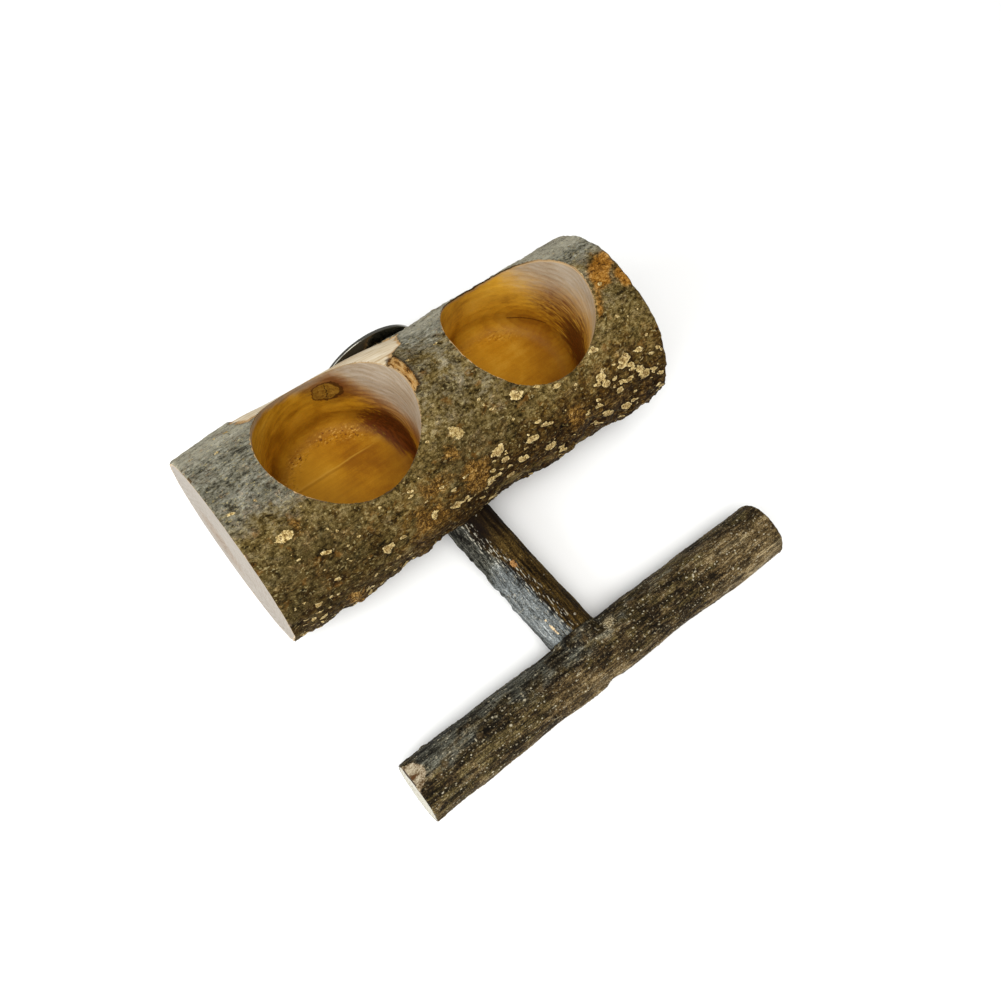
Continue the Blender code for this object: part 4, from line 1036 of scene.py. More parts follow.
        # dark streaks and painted rim shadow low on each cup's wall
        c = wall_point(n, *((398, 432), (578, 346))[n])
        du = np.angle(np.exp(1j * (th - math.atan2(c[1] - CUP_Y, c[0] - cx)))) * CUP_R
        dz = v[:, 2] - c[2]
        low = (1.25 * smooth(np.hypot(du / 1.5, dz), 14.5, 1.0),
               np.maximum(0.95 * smooth(np.hypot(np.where(du < 0, 0.55 * du, du) / 1.5, dz), 14.5, 1.0), 0.36 * smooth(np.hypot((du - 4.0) / 1.8, (dz - 3.0) / 1.1), 17.0, 5.0)))[n]
        if n == 0:
            q = [wall_point(n, *c) for c in ((413, 452), (392, 447), (370, 442))]
            under = np.interp(th, [math.atan2(w[1] - CUP_Y, w[0] - cx) for w in q], [w[2] for w in q])
            low = low * smooth(v[:, 2], under - 1.5, under + 3.0)
            low = np.maximum(low, 0.22 * smooth(v[:, 2], 2.0, -8.0) * smooth(np.cos(th - math.radians(146)), 0.93, 0.997))
        streak_and_rim_shadow = np.where(near, low * steep, streak_and_rim_shadow)
        walls = np.where(near, steep, walls)
        if n == 1:
            q = [wall_point(n, *c) for c in ((505, 318), (524, 318), (546, 323))]
            u = [math.atan2(w[1] - CUP_Y, w[0] - cx) for w in q]
            zc = np.interp(th, u[::-1], [w[2] for w in q][::-1])
            check = np.where(wall & (th > u[-1]) & (th < u[0]), v[:, 2] - zc, check)
            eye = np.where(near, np.hypot((th - u[1] + 0.06) * CUP_R / 1.9, v[:, 2] - q[1][2]) + 40 * smooth(steep, 0.6, 0.1), eye)
        if n == 0:
            c = wall_point(n, 327, 391)
            du = np.angle(np.exp(1j * (th - math.atan2(c[1] - CUP_Y, c[0] - cx)))) * CUP_R
            dz = v[:, 2] - c[2]
            knot = np.where(wall, np.hypot(du / 5.2, dz / 5.3), knot)
            crack = np.where(wall, -du + 0.4, crack)
    end = np.where(sawn, 1.0, end)
    give(ob, "seat", (v[:, 1] > SEAT_Y - 0.2) & (v[:, 0] > SEAT_X[0] - 0.8) & (v[:, 0] < SEAT_X[1] + 0.8))
    give(ob, "endgrain", end); give(ob, "torn", torn); give(ob, "knot", knot); give(ob, "crack", crack)
    give(ob, "eye", eye); give(ob, "zone", zone); give(ob, "edge", edge); give(ob, "sap_and_light", sap_and_light); give(ob, "streak_and_rim_shadow", streak_and_rim_shadow); give(ob, "check", check); give(ob, "wall", walls)

    fc, fn = faces_of(ob)
    fx = fc[:, 0] - left_saw(fc[:, 0], fc[:, 1], fc[:, 2])
    wood = (np.abs(fn[:, 0]) > 0.6) & (np.abs(fx) > 74.3)
    for cx in CUP_X:
        wood |= (np.hypot(fc[:, 0] - cx, fc[:, 1] - CUP_Y) < CUP_R + 0.12) & (fc[:, 2] > CUP_FLOOR - 1)
    in_seat = (fc[:, 0] > SEAT_X[0] - 0.2) & (fc[:, 0] < SEAT_X[1] + 0.2) & (fc[:, 1] > SEAT_Y - 0.1)
    wood |= in_seat & ((fn[:, 1] > 0.99) | (np.abs(fn[:, 0]) > 0.9))
    wood |= (np.hypot(fc[:, 0] - BOLT_X, fc[:, 2] - BOLT_Z) < 3.7) & (fc[:, 1] > 9)
    rel = fc - STEM_P
    off = np.linalg.norm(rel - (rel @ STEM_U)[:, None] * STEM_U, axis=1)
    wood |= (off < 4.4) & ((rel @ STEM_U) > 8)
    ob.data.materials.clear()
    ob.data.materials.append(log_bark_look())
    ob.data.materials.append(log_wood_look())
    ob.data.polygons.foreach_set("material_index", wood.astype(np.int32))
    rounded(ob, 62)
    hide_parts("feeder_log"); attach(ob, "stand")
    return ob


def wall_point(n, px, py):
    """Where a pixel's ray meets a cup's far wall."""
    d = ray(px, py)
    o = CAM[:2] - np.array([CUP_X[n], CUP_Y])
    A_, B_, C_ = d[:2] @ d[:2], 2 * (o @ d[:2]), o @ o - CUP_R ** 2
    t = (-B_ + math.sqrt(B_ * B_ - 4 * A_ * C_)) / (2 * A_)
    return CAM + t * d


# ---------------------------------------------------------------- crossbar
BNX, BNA = 400, 168
BX = np.linspace(BAR_X0, BAR_X1, BNX)
BA = np.arange(BNA) * 2 * math.pi / BNA
BS = BA * BAR_R
BSPAN = 2 * math.pi * BAR_R


def bfield(seed, lx, la):
    return field(seed, BNX, BNA, BX[1] - BX[0], BSPAN / BNA, lx, la)


def bar_fields():
    X, A = np.meshgrid(BX, BA, indexing="ij")
    f = {}
    wob = bfield(111, 0.4, 0.4)
    D = 0.20 * bfield(112, 14, 6) + 0.10 * bfield(113, 3.0, 1.6)
    lines = bfield(114, 4.5, 0.38)
    D += 0.075 * lines + 0.03 * bfield(115, 0.5, 0.4)
    D -= 0.10 * smooth(bfield(116, 5.0, 0.34), 1.4, 2.2)
    # knots, bud scars and swellings
    rust = np.full(X.shape, -1.0)
    dots = np.full(X.shape, -1.0)
    pale = np.full(X.shape, -1.0)
    for px, py, w, up, kind in ((609, 624, 2.6, 0.85, "pale"), (630, 604, 2.0, 0.35, "bud"), (480, 736, 1.9, 0.40, "bud"), (445, 764, 1.9, 0.35, "bud"),
                                (468, 727, 1.5, 0.3, "bud"), (586, 641, 1.5, 0.3, "bud"), (557, 711, 3.0, 0.30, "ring"), (540, 690, 2.2, 0.2, "ring"),
                                (583, 704, 3.4, 0.55, "lump"), (606, 688, 3.6, 0.50, "lump"), (440, 775, 2.0, 0.25, "bud"), (700, 570, 1.6, 0.25, "bud")):
        x, a, c = on_bar(px, py)
        t = np.full(X.shape, -1.0)
        if kind == "lump":
            t = 1.0 - np.hypot((X - x) / (1.7 * w), ((A - a + math.pi) % (2 * math.pi) - math.pi) * BAR_R / w)
        else:
            stamp(t, wob * 0.6, BX, BS, BSPAN, x, a * BAR_R, w, w * 0.9)
        if kind == "pale":
            D += up * smooth(t, -0.25, 0.75)
            pale = np.maximum(pale, t - 0.1)
            crescent(dots, t, X, A, x, a)
        elif kind == "bud":
            D += up * smooth(t, -0.25, 0.75)
            rust = np.maximum(rust, t - 0.25)
            crescent(dots, t, X, A, x, a)
        elif kind == "ring":
            D += up * smooth(t, -0.25, 0.15) - 1.6 * up * smooth(t, 0.2, 0.6)
            rust = np.maximum(rust, t - 0.3)
            crescent(dots, t, X, A, x, a)
        else:
            D += up * smooth(t, -0.7, 0.9)
    rng = np.random.default_rng(121)
    for _ in range(12):
        x, s, w = rng.uniform(-66, 74), math.radians(rng.uniform(195, 395)) * BAR_R % BSPAN, rng.uniform(1.2, 2.4)
        t = np.full(X.shape, -1.0)
        stamp(t, wob * 0.6, BX, BS, BSPAN, x, s, w, w * 0.9)
        D += 0.35 * smooth(t, -0.25, 0.75)
        rust = np.maximum(rust, t - 0.25)
        crescent(dots, t, X, A, x, s / BAR_R)
    # breathing pores, in rows along the branch
    for row in range(30):
        s = (row + rng.uniform(-0.35, 0.35)) * BSPAN / 30
        x = BAR_X0 + rng.uniform(0, 5)
        while x < BAR_X1 - 0.6:
            thick = 0.55 + 0.45 * math.sin(x * 0.13 + row * 1.9) + 0.2 * rng.standard_normal()
            if thick > 0.20:
                r = rng.uniform(0.20, 0.38)
                stamp(dots, wob, BX, BS, BSPAN, x, (s + rng.normal(0, 0.40)) % BSPAN, r * rng.uniform(0.9, 1.5), r)
            x += rng.uniform(0.8, 2.5)
    D += 0.13 * smooth(dots, -0.1, 0.5)
    f["dots"], f["rust"], f["bud"] = dots, rust, pale
    deg = np.degrees(A)
    # grey on the upper side: the bark's own grey and a painted reflection of the sky
    f["cool"] = smooth(deg, -5, 25) * smooth(deg, 112, 66) * (0.12 + 0.72 * smooth(X, 30, -12)) * smooth(X, -74, -62)
    f["far"] = smooth(X, 34, 68) * smooth(deg, 40, 100) + 0.35 * smooth(deg, 110, 165) * smooth(deg, 230, 190) - 0.18 * smooth(X, -18, -45)
    f["far"] += 0.30 * smooth(np.abs(X + 6), 22, 8) * smooth(deg, 96, 130)
    for px, py, wide, tall, much in ((571, 687, 8, 5, 0.75), (440, 752, 9, 5, 0.30), (730, 538, 10, 5, 0.20)):
        x, a, c = on_bar(px, py)
        f["far"] += much * smooth(np.hypot((X - x) / wide, np.angle(np.exp(1j * (A - a))) * BAR_R / tall), 1.3, 0.4)
    # whittled facet at the near end
    px = [on_bar(*c) for c in ((401, 768), (410, 763), (424, 770), (424, 784), (416, 788))]
    aim = sum(math.degrees(q[1]) for q in px) / len(px) + 4
    nrm = np.array([-0.34, 0.94 * math.cos(math.radians(aim)), 0.94 * math.sin(math.radians(aim))])
    start = np.array([BAR_X0 + 5.6, BAR_R * math.cos(math.radians(aim)), BAR_R * math.sin(math.radians(aim))])
    reach = (nrm @ start - nrm[0] * X) / np.maximum(nrm[1] * np.cos(A) + nrm[2] * np.sin(A), 1e-3)
    reach = np.where(nrm[1] * np.cos(A) + nrm[2] * np.sin(A) > 0.2, reach, 99.0)
    R = BAR_R + D
    cutaway = R - (reach + 0.06 * bfield(118, 3, 0.5))
    f["bare"] = np.clip(cutaway * 4, -3, 3)
    R = np.minimum(R, reach + 0.06 * bfield(118, 3, 0.5))
    t = np.full(X.shape, -1.0)
    x, a, c = on_bar(412, 775)
    stamp(t, wob, BX, BS, BSPAN, x, a * BAR_R, 1.5, 1.2)
    f["knot"] = t
    # quiet where the stem butts on it
    foot = np.stack([X, bar_axis(X) + BAR_R * np.cos(A), BAR_Z + BAR_R * np.sin(A)], -1) - STEM_P
    off = np.linalg.norm(foot - (foot @ STEM_U)[..., None] * STEM_U, axis=-1)
    keep = np.where(np.cos(A) > 0, smooth(off, 8.75, 9.5), 1.0)
    R = BAR_R + (R - BAR_R) * keep
    # a collar of bark that has grown over the stem's end
    far = (bar_axis(0) + 8.0) / STEM_U[1]
    dx = X - STEM_P[0] - STEM_U[0] * far
    rise = STEM_P[2] + STEM_U[2] * far - BAR_Z
    hump = (rise + np.sqrt(np.maximum(9.4 ** 2 - dx ** 2, 0.0))) / np.maximum(np.sin(A), 0.05)
    face = 9.8 / np.maximum(np.cos(A), 0.05)
    collar = np.minimum(hump + 0.25, face) + 0.20 * bfield(122, 1.6, 1.2) + 0.10 * bfield(123, 0.6, 0.6)
    near = smooth(np.abs(dx), 11.0, 9.2) * smooth(np.sin(A), -0.06, 0.06) * smooth(np.cos(A), 0.02, 0.25)
    R = np.maximum(R, R * (1 - near) + collar * near)
    f["R"] = R
    f["relief"] = np.clip(lines + 0.6 * bfield(113, 3.0, 1.6), -3, 3)
    return f


def crescent(dots, t, X, A, x, a):
    """A pale scar line round part of a knot's edge."""
    arc = 0.35 - np.abs(t - 0.12) * 3.0
    toward = np.cos(np.arctan2((A - a + math.pi) % (2 * math.pi) - math.pi, (X - x) / BAR_R) - 2.6)
    np.maximum(dots, np.where(toward > 0.1, arc, -1.0), out=dots)


BAR = bar_fields()


def screw_cutter(extra):
    top = STEM_P + STEM_U * SCREW_TOP
    prof = [(0, -3.0), (4.0 + extra, -3.0), (4.0 + extra, 0.0), (2.0 + extra, 2.3), (2.0 + extra, 38.0), (0, 40.3)]
    return lathe("screw_hole", prof, top, -STEM_U, (1, 0, 0), 64)


# the screw's head lies 1.3 mm under the crossbar's front
SCREW_HEAD_WORLD = np.array([-0.175, -69.3, 9.252])
SCREW_TOP = float((SCREW_HEAD_WORLD - SHIFT - STEM_P) @ STEM_U)


def branch_disc(centre_line, radius, x_end, seed, flip):
    rings, m = [], len(radius)
    a = np.arange(m) * 2 * math.pi / m
    rng = np.random.default_rng(seed)
    splits = [(rng.uniform(0, 6.28), rng.uniform(4, 8), rng.uniform(0.2, 0.5)) for _ in range(4)]
    for q in (0.985, 0.95, 0.90, 0.83, 0.74, 0.63, 0.51, 0.39, 0.27, 0.15, 0.06):
        y, z = radius * q * np.cos(a), radius * q * np.sin(a)
        rho, th = np.hypot(y, z), np.arctan2(z, y)
        sink = 0.05 * np.sin(z * 2.4 + 0.8 * np.sin(y * 0.5)) + 0.02 * np.sin(z * 6 + y * 2)
        for at, far, deep in splits:
            d = np.angle(np.exp(1j * (th - at - 0.06 * np.sin(rho)))) * rho
            sink -= deep * np.exp(-(d / 0.22) ** 2) * smooth(rho, far, far * 0.6) * smooth(rho, 0.3, 1.0)
        rings.append(np.stack([np.full(m, x_end) + flip * sink, centre_line + y, BAR_Z + z], -1))
    return rings


def build_bar():
    X, A = np.meshgrid(BX, BA, indexing="ij")
    R = BAR["R"].copy()
    chip = np.abs(field(119, BNX, BNA, 0.37, 0.37, 0.8, 0.9))
    R[0] -= 0.12 + 0.12 * chip[0]
    R[-1] -= 0.35 + 0.10 * chip[-1]
    R[-2] -= 0.12
    side = np.stack([X, bar_axis(X) + R * np.cos(A), BAR_Z + R * np.sin(A)], -1)
    rings = np.concatenate([np.array(branch_disc(bar_axis(BAR_X0), R[0], BAR_X0, 131, -1.0)[::-1]), side,
                            np.array(branch_disc(bar_axis(BAR_X1), R[-1], BAR_X1, 132, 1.0))])
    rings[..., 2] = np.maximum(rings[..., 2], FLOOR_Z + 0.002)
    # the near end is sawn a little off square
    rings[..., 0] += 0.055 * (rings[..., 2] - BAR_Z) * smooth(rings[..., 0], BAR_X0 + 12, BAR_X0)
    ob = tube("crossbar", rings, [BAR_X0, bar_axis(BAR_X0), BAR_Z], [BAR_X1, bar_axis(BAR_X1), BAR_Z])
    cut(ob, screw_cutter(0.15))
    v = points_of(ob)
    y, z = v[:, 1] - bar_axis(v[:, 0]), v[:, 2] - BAR_Z
    a = np.mod(np.arctan2(z, y), 2 * math.pi)
    for name in ("relief", "dots", "rust", "bud", "cool", "far", "bare", "knot"):
        give(ob, name, sample(BAR[name], v[:, 0], a, BAR_X0, BAR_X1))
    give(ob, "depth", sample(BAR["R"], v[:, 0], a, BAR_X0, BAR_X1) - np.hypot(y, z))
    fc, fn = faces_of(ob)
    wood = (np.abs(fn[:, 0]) > 0.6) & ((fc[:, 0] < BAR_X0 + 0.2 + 0.055 * (fc[:, 2] - BAR_Z)) | (fc[:, 0] > BAR_X1 - 0.2))
    rel = fc - STEM_P
    off = np.linalg.norm(rel - (rel @ STEM_U)[:, None] * STEM_U, axis=1)
    deep = sample(BAR["R"], fc[:, 0], np.mod(np.arctan2(fc[:, 2] - BAR_Z, fc[:, 1] - bar_axis(fc[:, 0])), 2 * math.pi), BAR_X0, BAR_X1)
    deep = deep - np.hypot(fc[:, 1] - bar_axis(fc[:, 0]), fc[:, 2] - BAR_Z)
    wood |= (off < 4.3) & (deep > 0.12)
    ob.data.materials.clear()
    ob.data.materials.append(perch_bark_look())
    ob.data.materials.append(end_wood_look("perch_end_wood", (np.array([0, bar_axis(0) + 0.4, BAR_Z - 0.5]) + SHIFT), "X"))
    ob.data.polygons.foreach_set("material_index", wood.astype(np.int32))
    rounded(ob, 62)
    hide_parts("perch_crossbar"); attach(ob, "stand")
    return ob


# ---------------------------------------------------------------- stem
TNX, TNA = 176, 148


def meet(fun, base, start, step, goal=0.0):
    """Distance along the stem, for each line, where fun falls to goal."""
    t = np.full(base.shape[:-1], float(start))
    for _ in range(60):
        g = fun(base + t[..., None] * STEM_U) - goal
        t = t + step * np.clip(g, -3, 3) * 0.7
    return t


def log_gap(p):
    a = np.mod(np.arctan2(p[..., 2], p[..., 1]), 2 * math.pi)
    return np.hypot(p[..., 1], p[..., 2]) - log_skin(p[..., 0].ravel(), a.ravel()).reshape(a.shape)


def bar_gap(p):
    return np.hypot(p[..., 1] - bar_axis(p[..., 0]), p[..., 2] - BAR_Z) - BAR_R


def build_stem():
    a = np.arange(TNA) * 2 * math.pi / TNA
    # counter-clockwise about the stem's own direction
    circ = np.cos(a)[:, None] * STEM_E1 + np.sin(a)[:, None] * STEM_E2
    if np.cross(STEM_E1, STEM_E2) @ STEM_U < 0:
        raise ValueError("stem frame is left-handed")
    length = 60.0
    sx, sa = length / TNX, 2 * math.pi * 8.4 / TNA
    n = lambda seed, lx, la: field(seed, TNX, TNA, sx, sa, lx, la)
    wob = n(211, 0.4, 0.4)
    lines = n(213, 4.0, 0.36)
    D = 0.16 * n(212, 12, 5) + 0.08 * n(214, 2.6, 1.4) + 0.085 * lines + 0.03 * n(215, 0.5, 0.4)
    D -= 0.14 * smooth(n(216, 4.6, 0.32), 1.3, 2.1)
    hs = np.linspace(0, length, TNX)                  # from the log's side
    sv, span = a * 8.4, 2 * math.pi * 8.4
    h0 = 28.0
    rust = np.full(D.shape, -1.0); dots = np.full(D.shape, -1.0); nick = np.full(D.shape, -1.0)
    for px, py, w, up, kind in ((514, 563, 1.5, 0.12, "rust"), (518, 603, 3.4, 1.15, "knot"), (554, 629, 2.4, -0.1, "nick"), (499, 577, 1.8, 0.45, "knot")):
        h, t, c = on_stem(px, py)
        q = np.full(D.shape, -1.0)
        if kind == "nick":
            stamp(q, wob, hs, sv, span, h - h0, t * 8.4, w, 0.55)
        else:
            stamp(q, wob, hs, sv, span, h - h0, t * 8.4, w, w * 0.8)
        D += up * smooth(q, -0.3, 0.7)
        if kind == "nick":
            nick = np.maximum(nick, q)
        elif kind == "rust":
            rust = np.maximum(rust, q)
        else:
            dots = np.maximum(dots, np.where(q > -0.2, 0.30 - np.abs(q - 0.1) * 2.0, -1))
    rng = np.random.default_rng(221)
    for row in range(26):
        s = (row + rng.uniform(-0.4, 0.4)) * span / 26
        x = rng.uniform(0, 4)
        while x < length:
            if rng.random() < 0.32:
                r = rng.uniform(0.13, 0.26)
                stamp(dots, wob, hs, sv, span, x, (s + rng.normal(0, 0.4)) % span, r, r * rng.uniform(1.0, 2.0))
            x += rng.uniform(1.4, 5.0)
    D += 0.11 * smooth(dots, -0.1, 0.5)
    # silvery grey on the side facing the lamp, weathered bark and painted light, wider towards the crossbar; torn lines
    # where it ends
    left = np.tile(circ @ np.array([-0.962, -0.053, -0.266]), (TNX, 1)) + 0.10 * n(217, 6, 2.2)
    start = (0.50 - 0.56 * smooth(hs, 12, 42))[:, None]
    weathered_and_lit = smooth(left, start - 0.16, start + 0.20)
    seam = smooth(left, start + 0.34, start + 0.04) * smooth(left, start - 0.62, start - 0.28)
    # painted shadow of the log on the stem's top end, most on the side away from the lamp
    foot = np.tile(smooth(hs, 22, 5)[:, None], (1, TNA)) * (0.34 + 0.66 * smooth(left, 0.75, 0.1))
    worn = np.tile(smooth(hs, 13, 30)[:, None], (1, TNA))
    # scaly along the weathered edge
    D += 0.30 * np.maximum(0, n(218, 0.8, 0.7) - 0.2) * smooth(left, 0.50, 0.80) * (smooth(hs, 2, 8) * smooth(hs, 40, 28))[:, None]

    t0 = meet(log_gap, STEM_P + circ * 8.25, 32.0, -1.0, 0.06)
    t1 = meet(bar_gap, STEM_P + circ * 8.65, 78.0, 1.0, 0.06)
    u = np.linspace(0, 1, TNX)[:, None]
    H = t0[None, :] * (1 - u) + t1[None, :] * u
    # read the relief by true distance, so that it isn't sheared at the ends
    col = np.clip((H - h0) / length * (TNX - 1), 0, TNX - 1.001)
    i = col.astype(int); fr = col - i
    jj = np.tile(np.arange(TNA), (TNX, 1))
    read = lambda g: g[i, jj] * (1 - fr) + g[i + 1, jj] * fr
    quiet = smooth(np.minimum(u, 1 - u) * (t1 - t0)[None, :], 0.0, 0.9)
    rad = STEM_R0 + (STEM_R1 - STEM_R0) * (H - t0) / (t1 - t0) + read(D) * quiet - 0.10 * (1 - quiet)
    side = STEM_P + H[..., None] * STEM_U + rad[..., None] * circ
    caps = [[], []]
    for q in (0.97, 0.88, 0.76, 0.63, 0.50, 0.37, 0.24, 0.10):
        for k, (fun, start, step, r) in enumerate(((log_gap, 32.0, -1.0, rad[0]), (bar_gap, 78.0, 1.0, rad[-1]))):
            line = STEM_P + circ * (r * q)[:, None]
            t = meet(fun, line, start, step, 0.06)
            caps[k].append(line + t[:, None] * STEM_U)
    mid0 = meet(log_gap, STEM_P[None, :], 32.0, -1.0, 0.06)[0]
    mid1 = meet(bar_gap, STEM_P[None, :], 78.0, 1.0, 0.06)[0]
    rings = np.concatenate([np.array(caps[0][::-1]), side, np.array(caps[1])])
    ob = tube("stem", rings, STEM_P + mid0 * STEM_U, STEM_P + mid1 * STEM_U)
    root = STEM_P + STEM_U * 27.4
    cut(ob, lathe("dowel_hole", [(0, -12), (4.15, -12), (4.15, 20.5), (3.0, 21.6), (0, 21.6)], root, STEM_U, (1, 0, 0), 64), screw_cutter(0.15))
    v = points_of(ob) - STEM_P
    h = v @ STEM_U
    ang = np.mod(np.arctan2(v @ STEM_E2, v @ STEM_E1), 2 * math.pi)
    for name, g in (("relief", np.clip(lines + 0.5 * n(214, 2.6, 1.4), -3, 3)), ("dots", dots), ("rust", rust), ("weathered_and_lit", weathered_and_lit), ("seam", seam), ("foot", foot), ("worn", worn), ("nick", nick)):
        give(ob, name, sample(g, h - h0, ang, 0.0, length))
    rho = np.hypot(v @ STEM_E1, v @ STEM_E2)
    give(ob, "depth", 8.45 - rho)
    fc, fn = faces_of(ob)
    rel = fc - STEM_P
    off = np.hypot(rel @ STEM_E1, rel @ STEM_E2)
    wood = (off < 7.6) | (np.abs(fn @ STEM_U) > 0.75)
    ob.data.materials.clear()
    ob.data.materials.append(stem_bark_look())
    ob.data.materials.append(end_wood_look("stem_end_wood", STEM_P + STEM_U * 55 + SHIFT, "Y"))
    ob.data.polygons.foreach_set("material_index", wood.astype(np.int32))
    rounded(ob, 62)
    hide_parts("perch_stem"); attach(ob, "stand")
    return ob


# ---------------------------------------------------------------- joinery and hardware
def build_dowel():
    root = STEM_P + STEM_U * 27.4
    m = 120
    a = np.arange(m) * 2 * math.pi / m
    e1, e2 = STEM_E1, STEM_E2
    circ = np.cos(a)[:, None] * e1 + np.sin(a)[:, None] * e2
    rings = []
    for h, r, flute in ((-13.7, 1.2, 0), (-13.7, 3.0, 0), (-12.6, 3.85, 0.3), (-12.0, 3.95, 1), (-6, 3.95, 1), (0, 3.95, 1), (6, 3.95, 1),
                        (12, 3.95, 1), (16.4, 3.95, 1), (17.0, 3.85, 0.3), (18.0, 3.0, 0), (18.0, 1.2, 0)):
        rr = r - 0.16 * flute * (0.5 + 0.5 * np.cos(a * 20)) ** 2
        rings.append(root + h * STEM_U + rr[:, None] * circ)
    ob = tube("dowel", np.array(rings), root - 13.7 * STEM_U, root + 18.0 * STEM_U)
    ob.data.materials.append(dowel_look())
    rounded(ob, 40)
    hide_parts("stem_dowel"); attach(ob, "stand")
    return ob


def thread_rings(m, y0, y1, step, pitch, core, crest, lead0, lead1):
    """Heights and radii of a screw thread: crests run up a helix, fading at both ends."""
    ys = np.arange(y0, y1 + 1e-6, step)
    a = np.arange(m) * 2 * math.pi / m
    ph = np.mod(ys[:, None] / pitch - a[None, :] / (2 * math.pi), 1.0)
    tri = np.clip(1.35 - np.abs(ph - 0.5) * 3.6, 0.0, 1.0)
    amp = np.minimum(smooth(ys, y0, y0 + lead0), smooth(ys, y1, y1 - lead1))[:, None]
    return ys, a, core + (crest - core) * tri * amp


def build_bolt():
    origin = np.array([BOLT_X, 0.0, BOLT_Z])
    e1, e2 = np.array([0, 0, 1.0]), np.array([1.0, 0, 0])   # turn counter-clockwise about +Y
    m = 64
    rings = []
    y_root, y_tip = 41.31 - SHIFT[1], 71.91 - SHIFT[1]
    a = np.arange(m) * 2 * math.pi / m
    circ = np.cos(a)[:, None] * e1 + np.sin(a)[:, None] * e2
    for y, r in ((y_root + 0.02, 0.5), (y_root + 0.5, 1.0), (y_root + 1.6, 1.75)):
        rings.append(origin + np.array([0, y, 0]) + r * circ)
    ys, _, R = thread_rings(m, y_root + 2.0, y_root + 18.2, 0.2, 2.2, 2.05, 2.88, 2.5, 1.0)
    for y, r in zip(ys, R):
        rings.append(origin + np.array([0, y, 0]) + r[:, None] * circ)
    for y, r in ((y_root + 18.5, 2.55), (y_root + 19.4, 2.6)):
        rings.append(origin + np.array([0, y, 0]) + r * circ)
    ys, _, R = thread_rings(m, y_root + 19.7, y_tip - 0.55, 0.085, 1.0, 2.42, 2.88, 0.6, 0.5)
    for y, r in zip(ys, R):
        rings.append(origin + np.array([0, y, 0]) + r[:, None] * circ)
    for y, r in ((y_tip - 0.35, 2.30), (y_tip - 0.06, 1.95), (y_tip, 1.75), (y_tip, 1.0), (y_tip, 0.3)):
        rings.append(origin + np.array([0, y, 0]) + r * circ)
    ob = tube("bolt", np.array(rings), origin + (0, y_root, 0), origin + (0, y_tip, 0))
    ob.data.materials.append(steel_look("bolt_steel", (196, 192, 184), 0.22, 0.42, (1, 0.2, 1)))
    rounded(ob, 50)
    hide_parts("hanger_bolt"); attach(ob, "stand")
    return ob


def build_washer():
    y0, y1 = 61.607 - SHIFT[1], 62.807 - SHIFT[1]
    r0, r1 = 3.3, 20.2
    m = 256
    a = np.arange(m) * 2 * math.pi / m
    prof = []
    # stamped plate: rounded edge on the side it was struck from, sharper on the other
    for t in np.linspace(0, math.pi / 2, 6):
        prof.append((r1 - 0.45 + 0.45 * math.sin(t), y0 + 0.45 - 0.45 * math.cos(t)))
    for t in np.linspace(0, math.pi / 2, 4):
        prof.append((r1 - 0.16 + 0.16 * math.cos(t), y1 - 0.16 + 0.16 * math.sin(t)))
    for r in np.linspace(r1 - 2.2, r0 + 1.2, 9):
        prof.append((r, y1))
    for t in np.linspace(0, math.pi / 2, 4):
        prof.append((r0 + 0.2 - 0.2 * math.sin(t), y1 - 0.2 + 0.2 * math.cos(t)))
    for t in np.linspace(0, math.pi / 2, 4):
        prof.append((r0 + 0.2 - 0.2 * math.cos(t), y0 + 0.2 - 0.2 * math.sin(t)))
    for r in np.linspace(r0 + 1.2, r1 - 2.2, 9):
        prof.append((r, y0))
    prof = np.array(prof)
    loops = np.stack([np.stack([BOLT_X + p[0] * np.sin(a), np.full(m, p[1]), BOLT_Z + p[0] * np.cos(a)], -1) for p in prof])
    ob = outward(ring_body("washer", loops))
    ob.data.materials.append(steel_look("washer_steel", (122, 119, 111), 0.10, 0.22))
    rounded(ob, 40)
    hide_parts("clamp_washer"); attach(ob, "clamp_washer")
    return ob


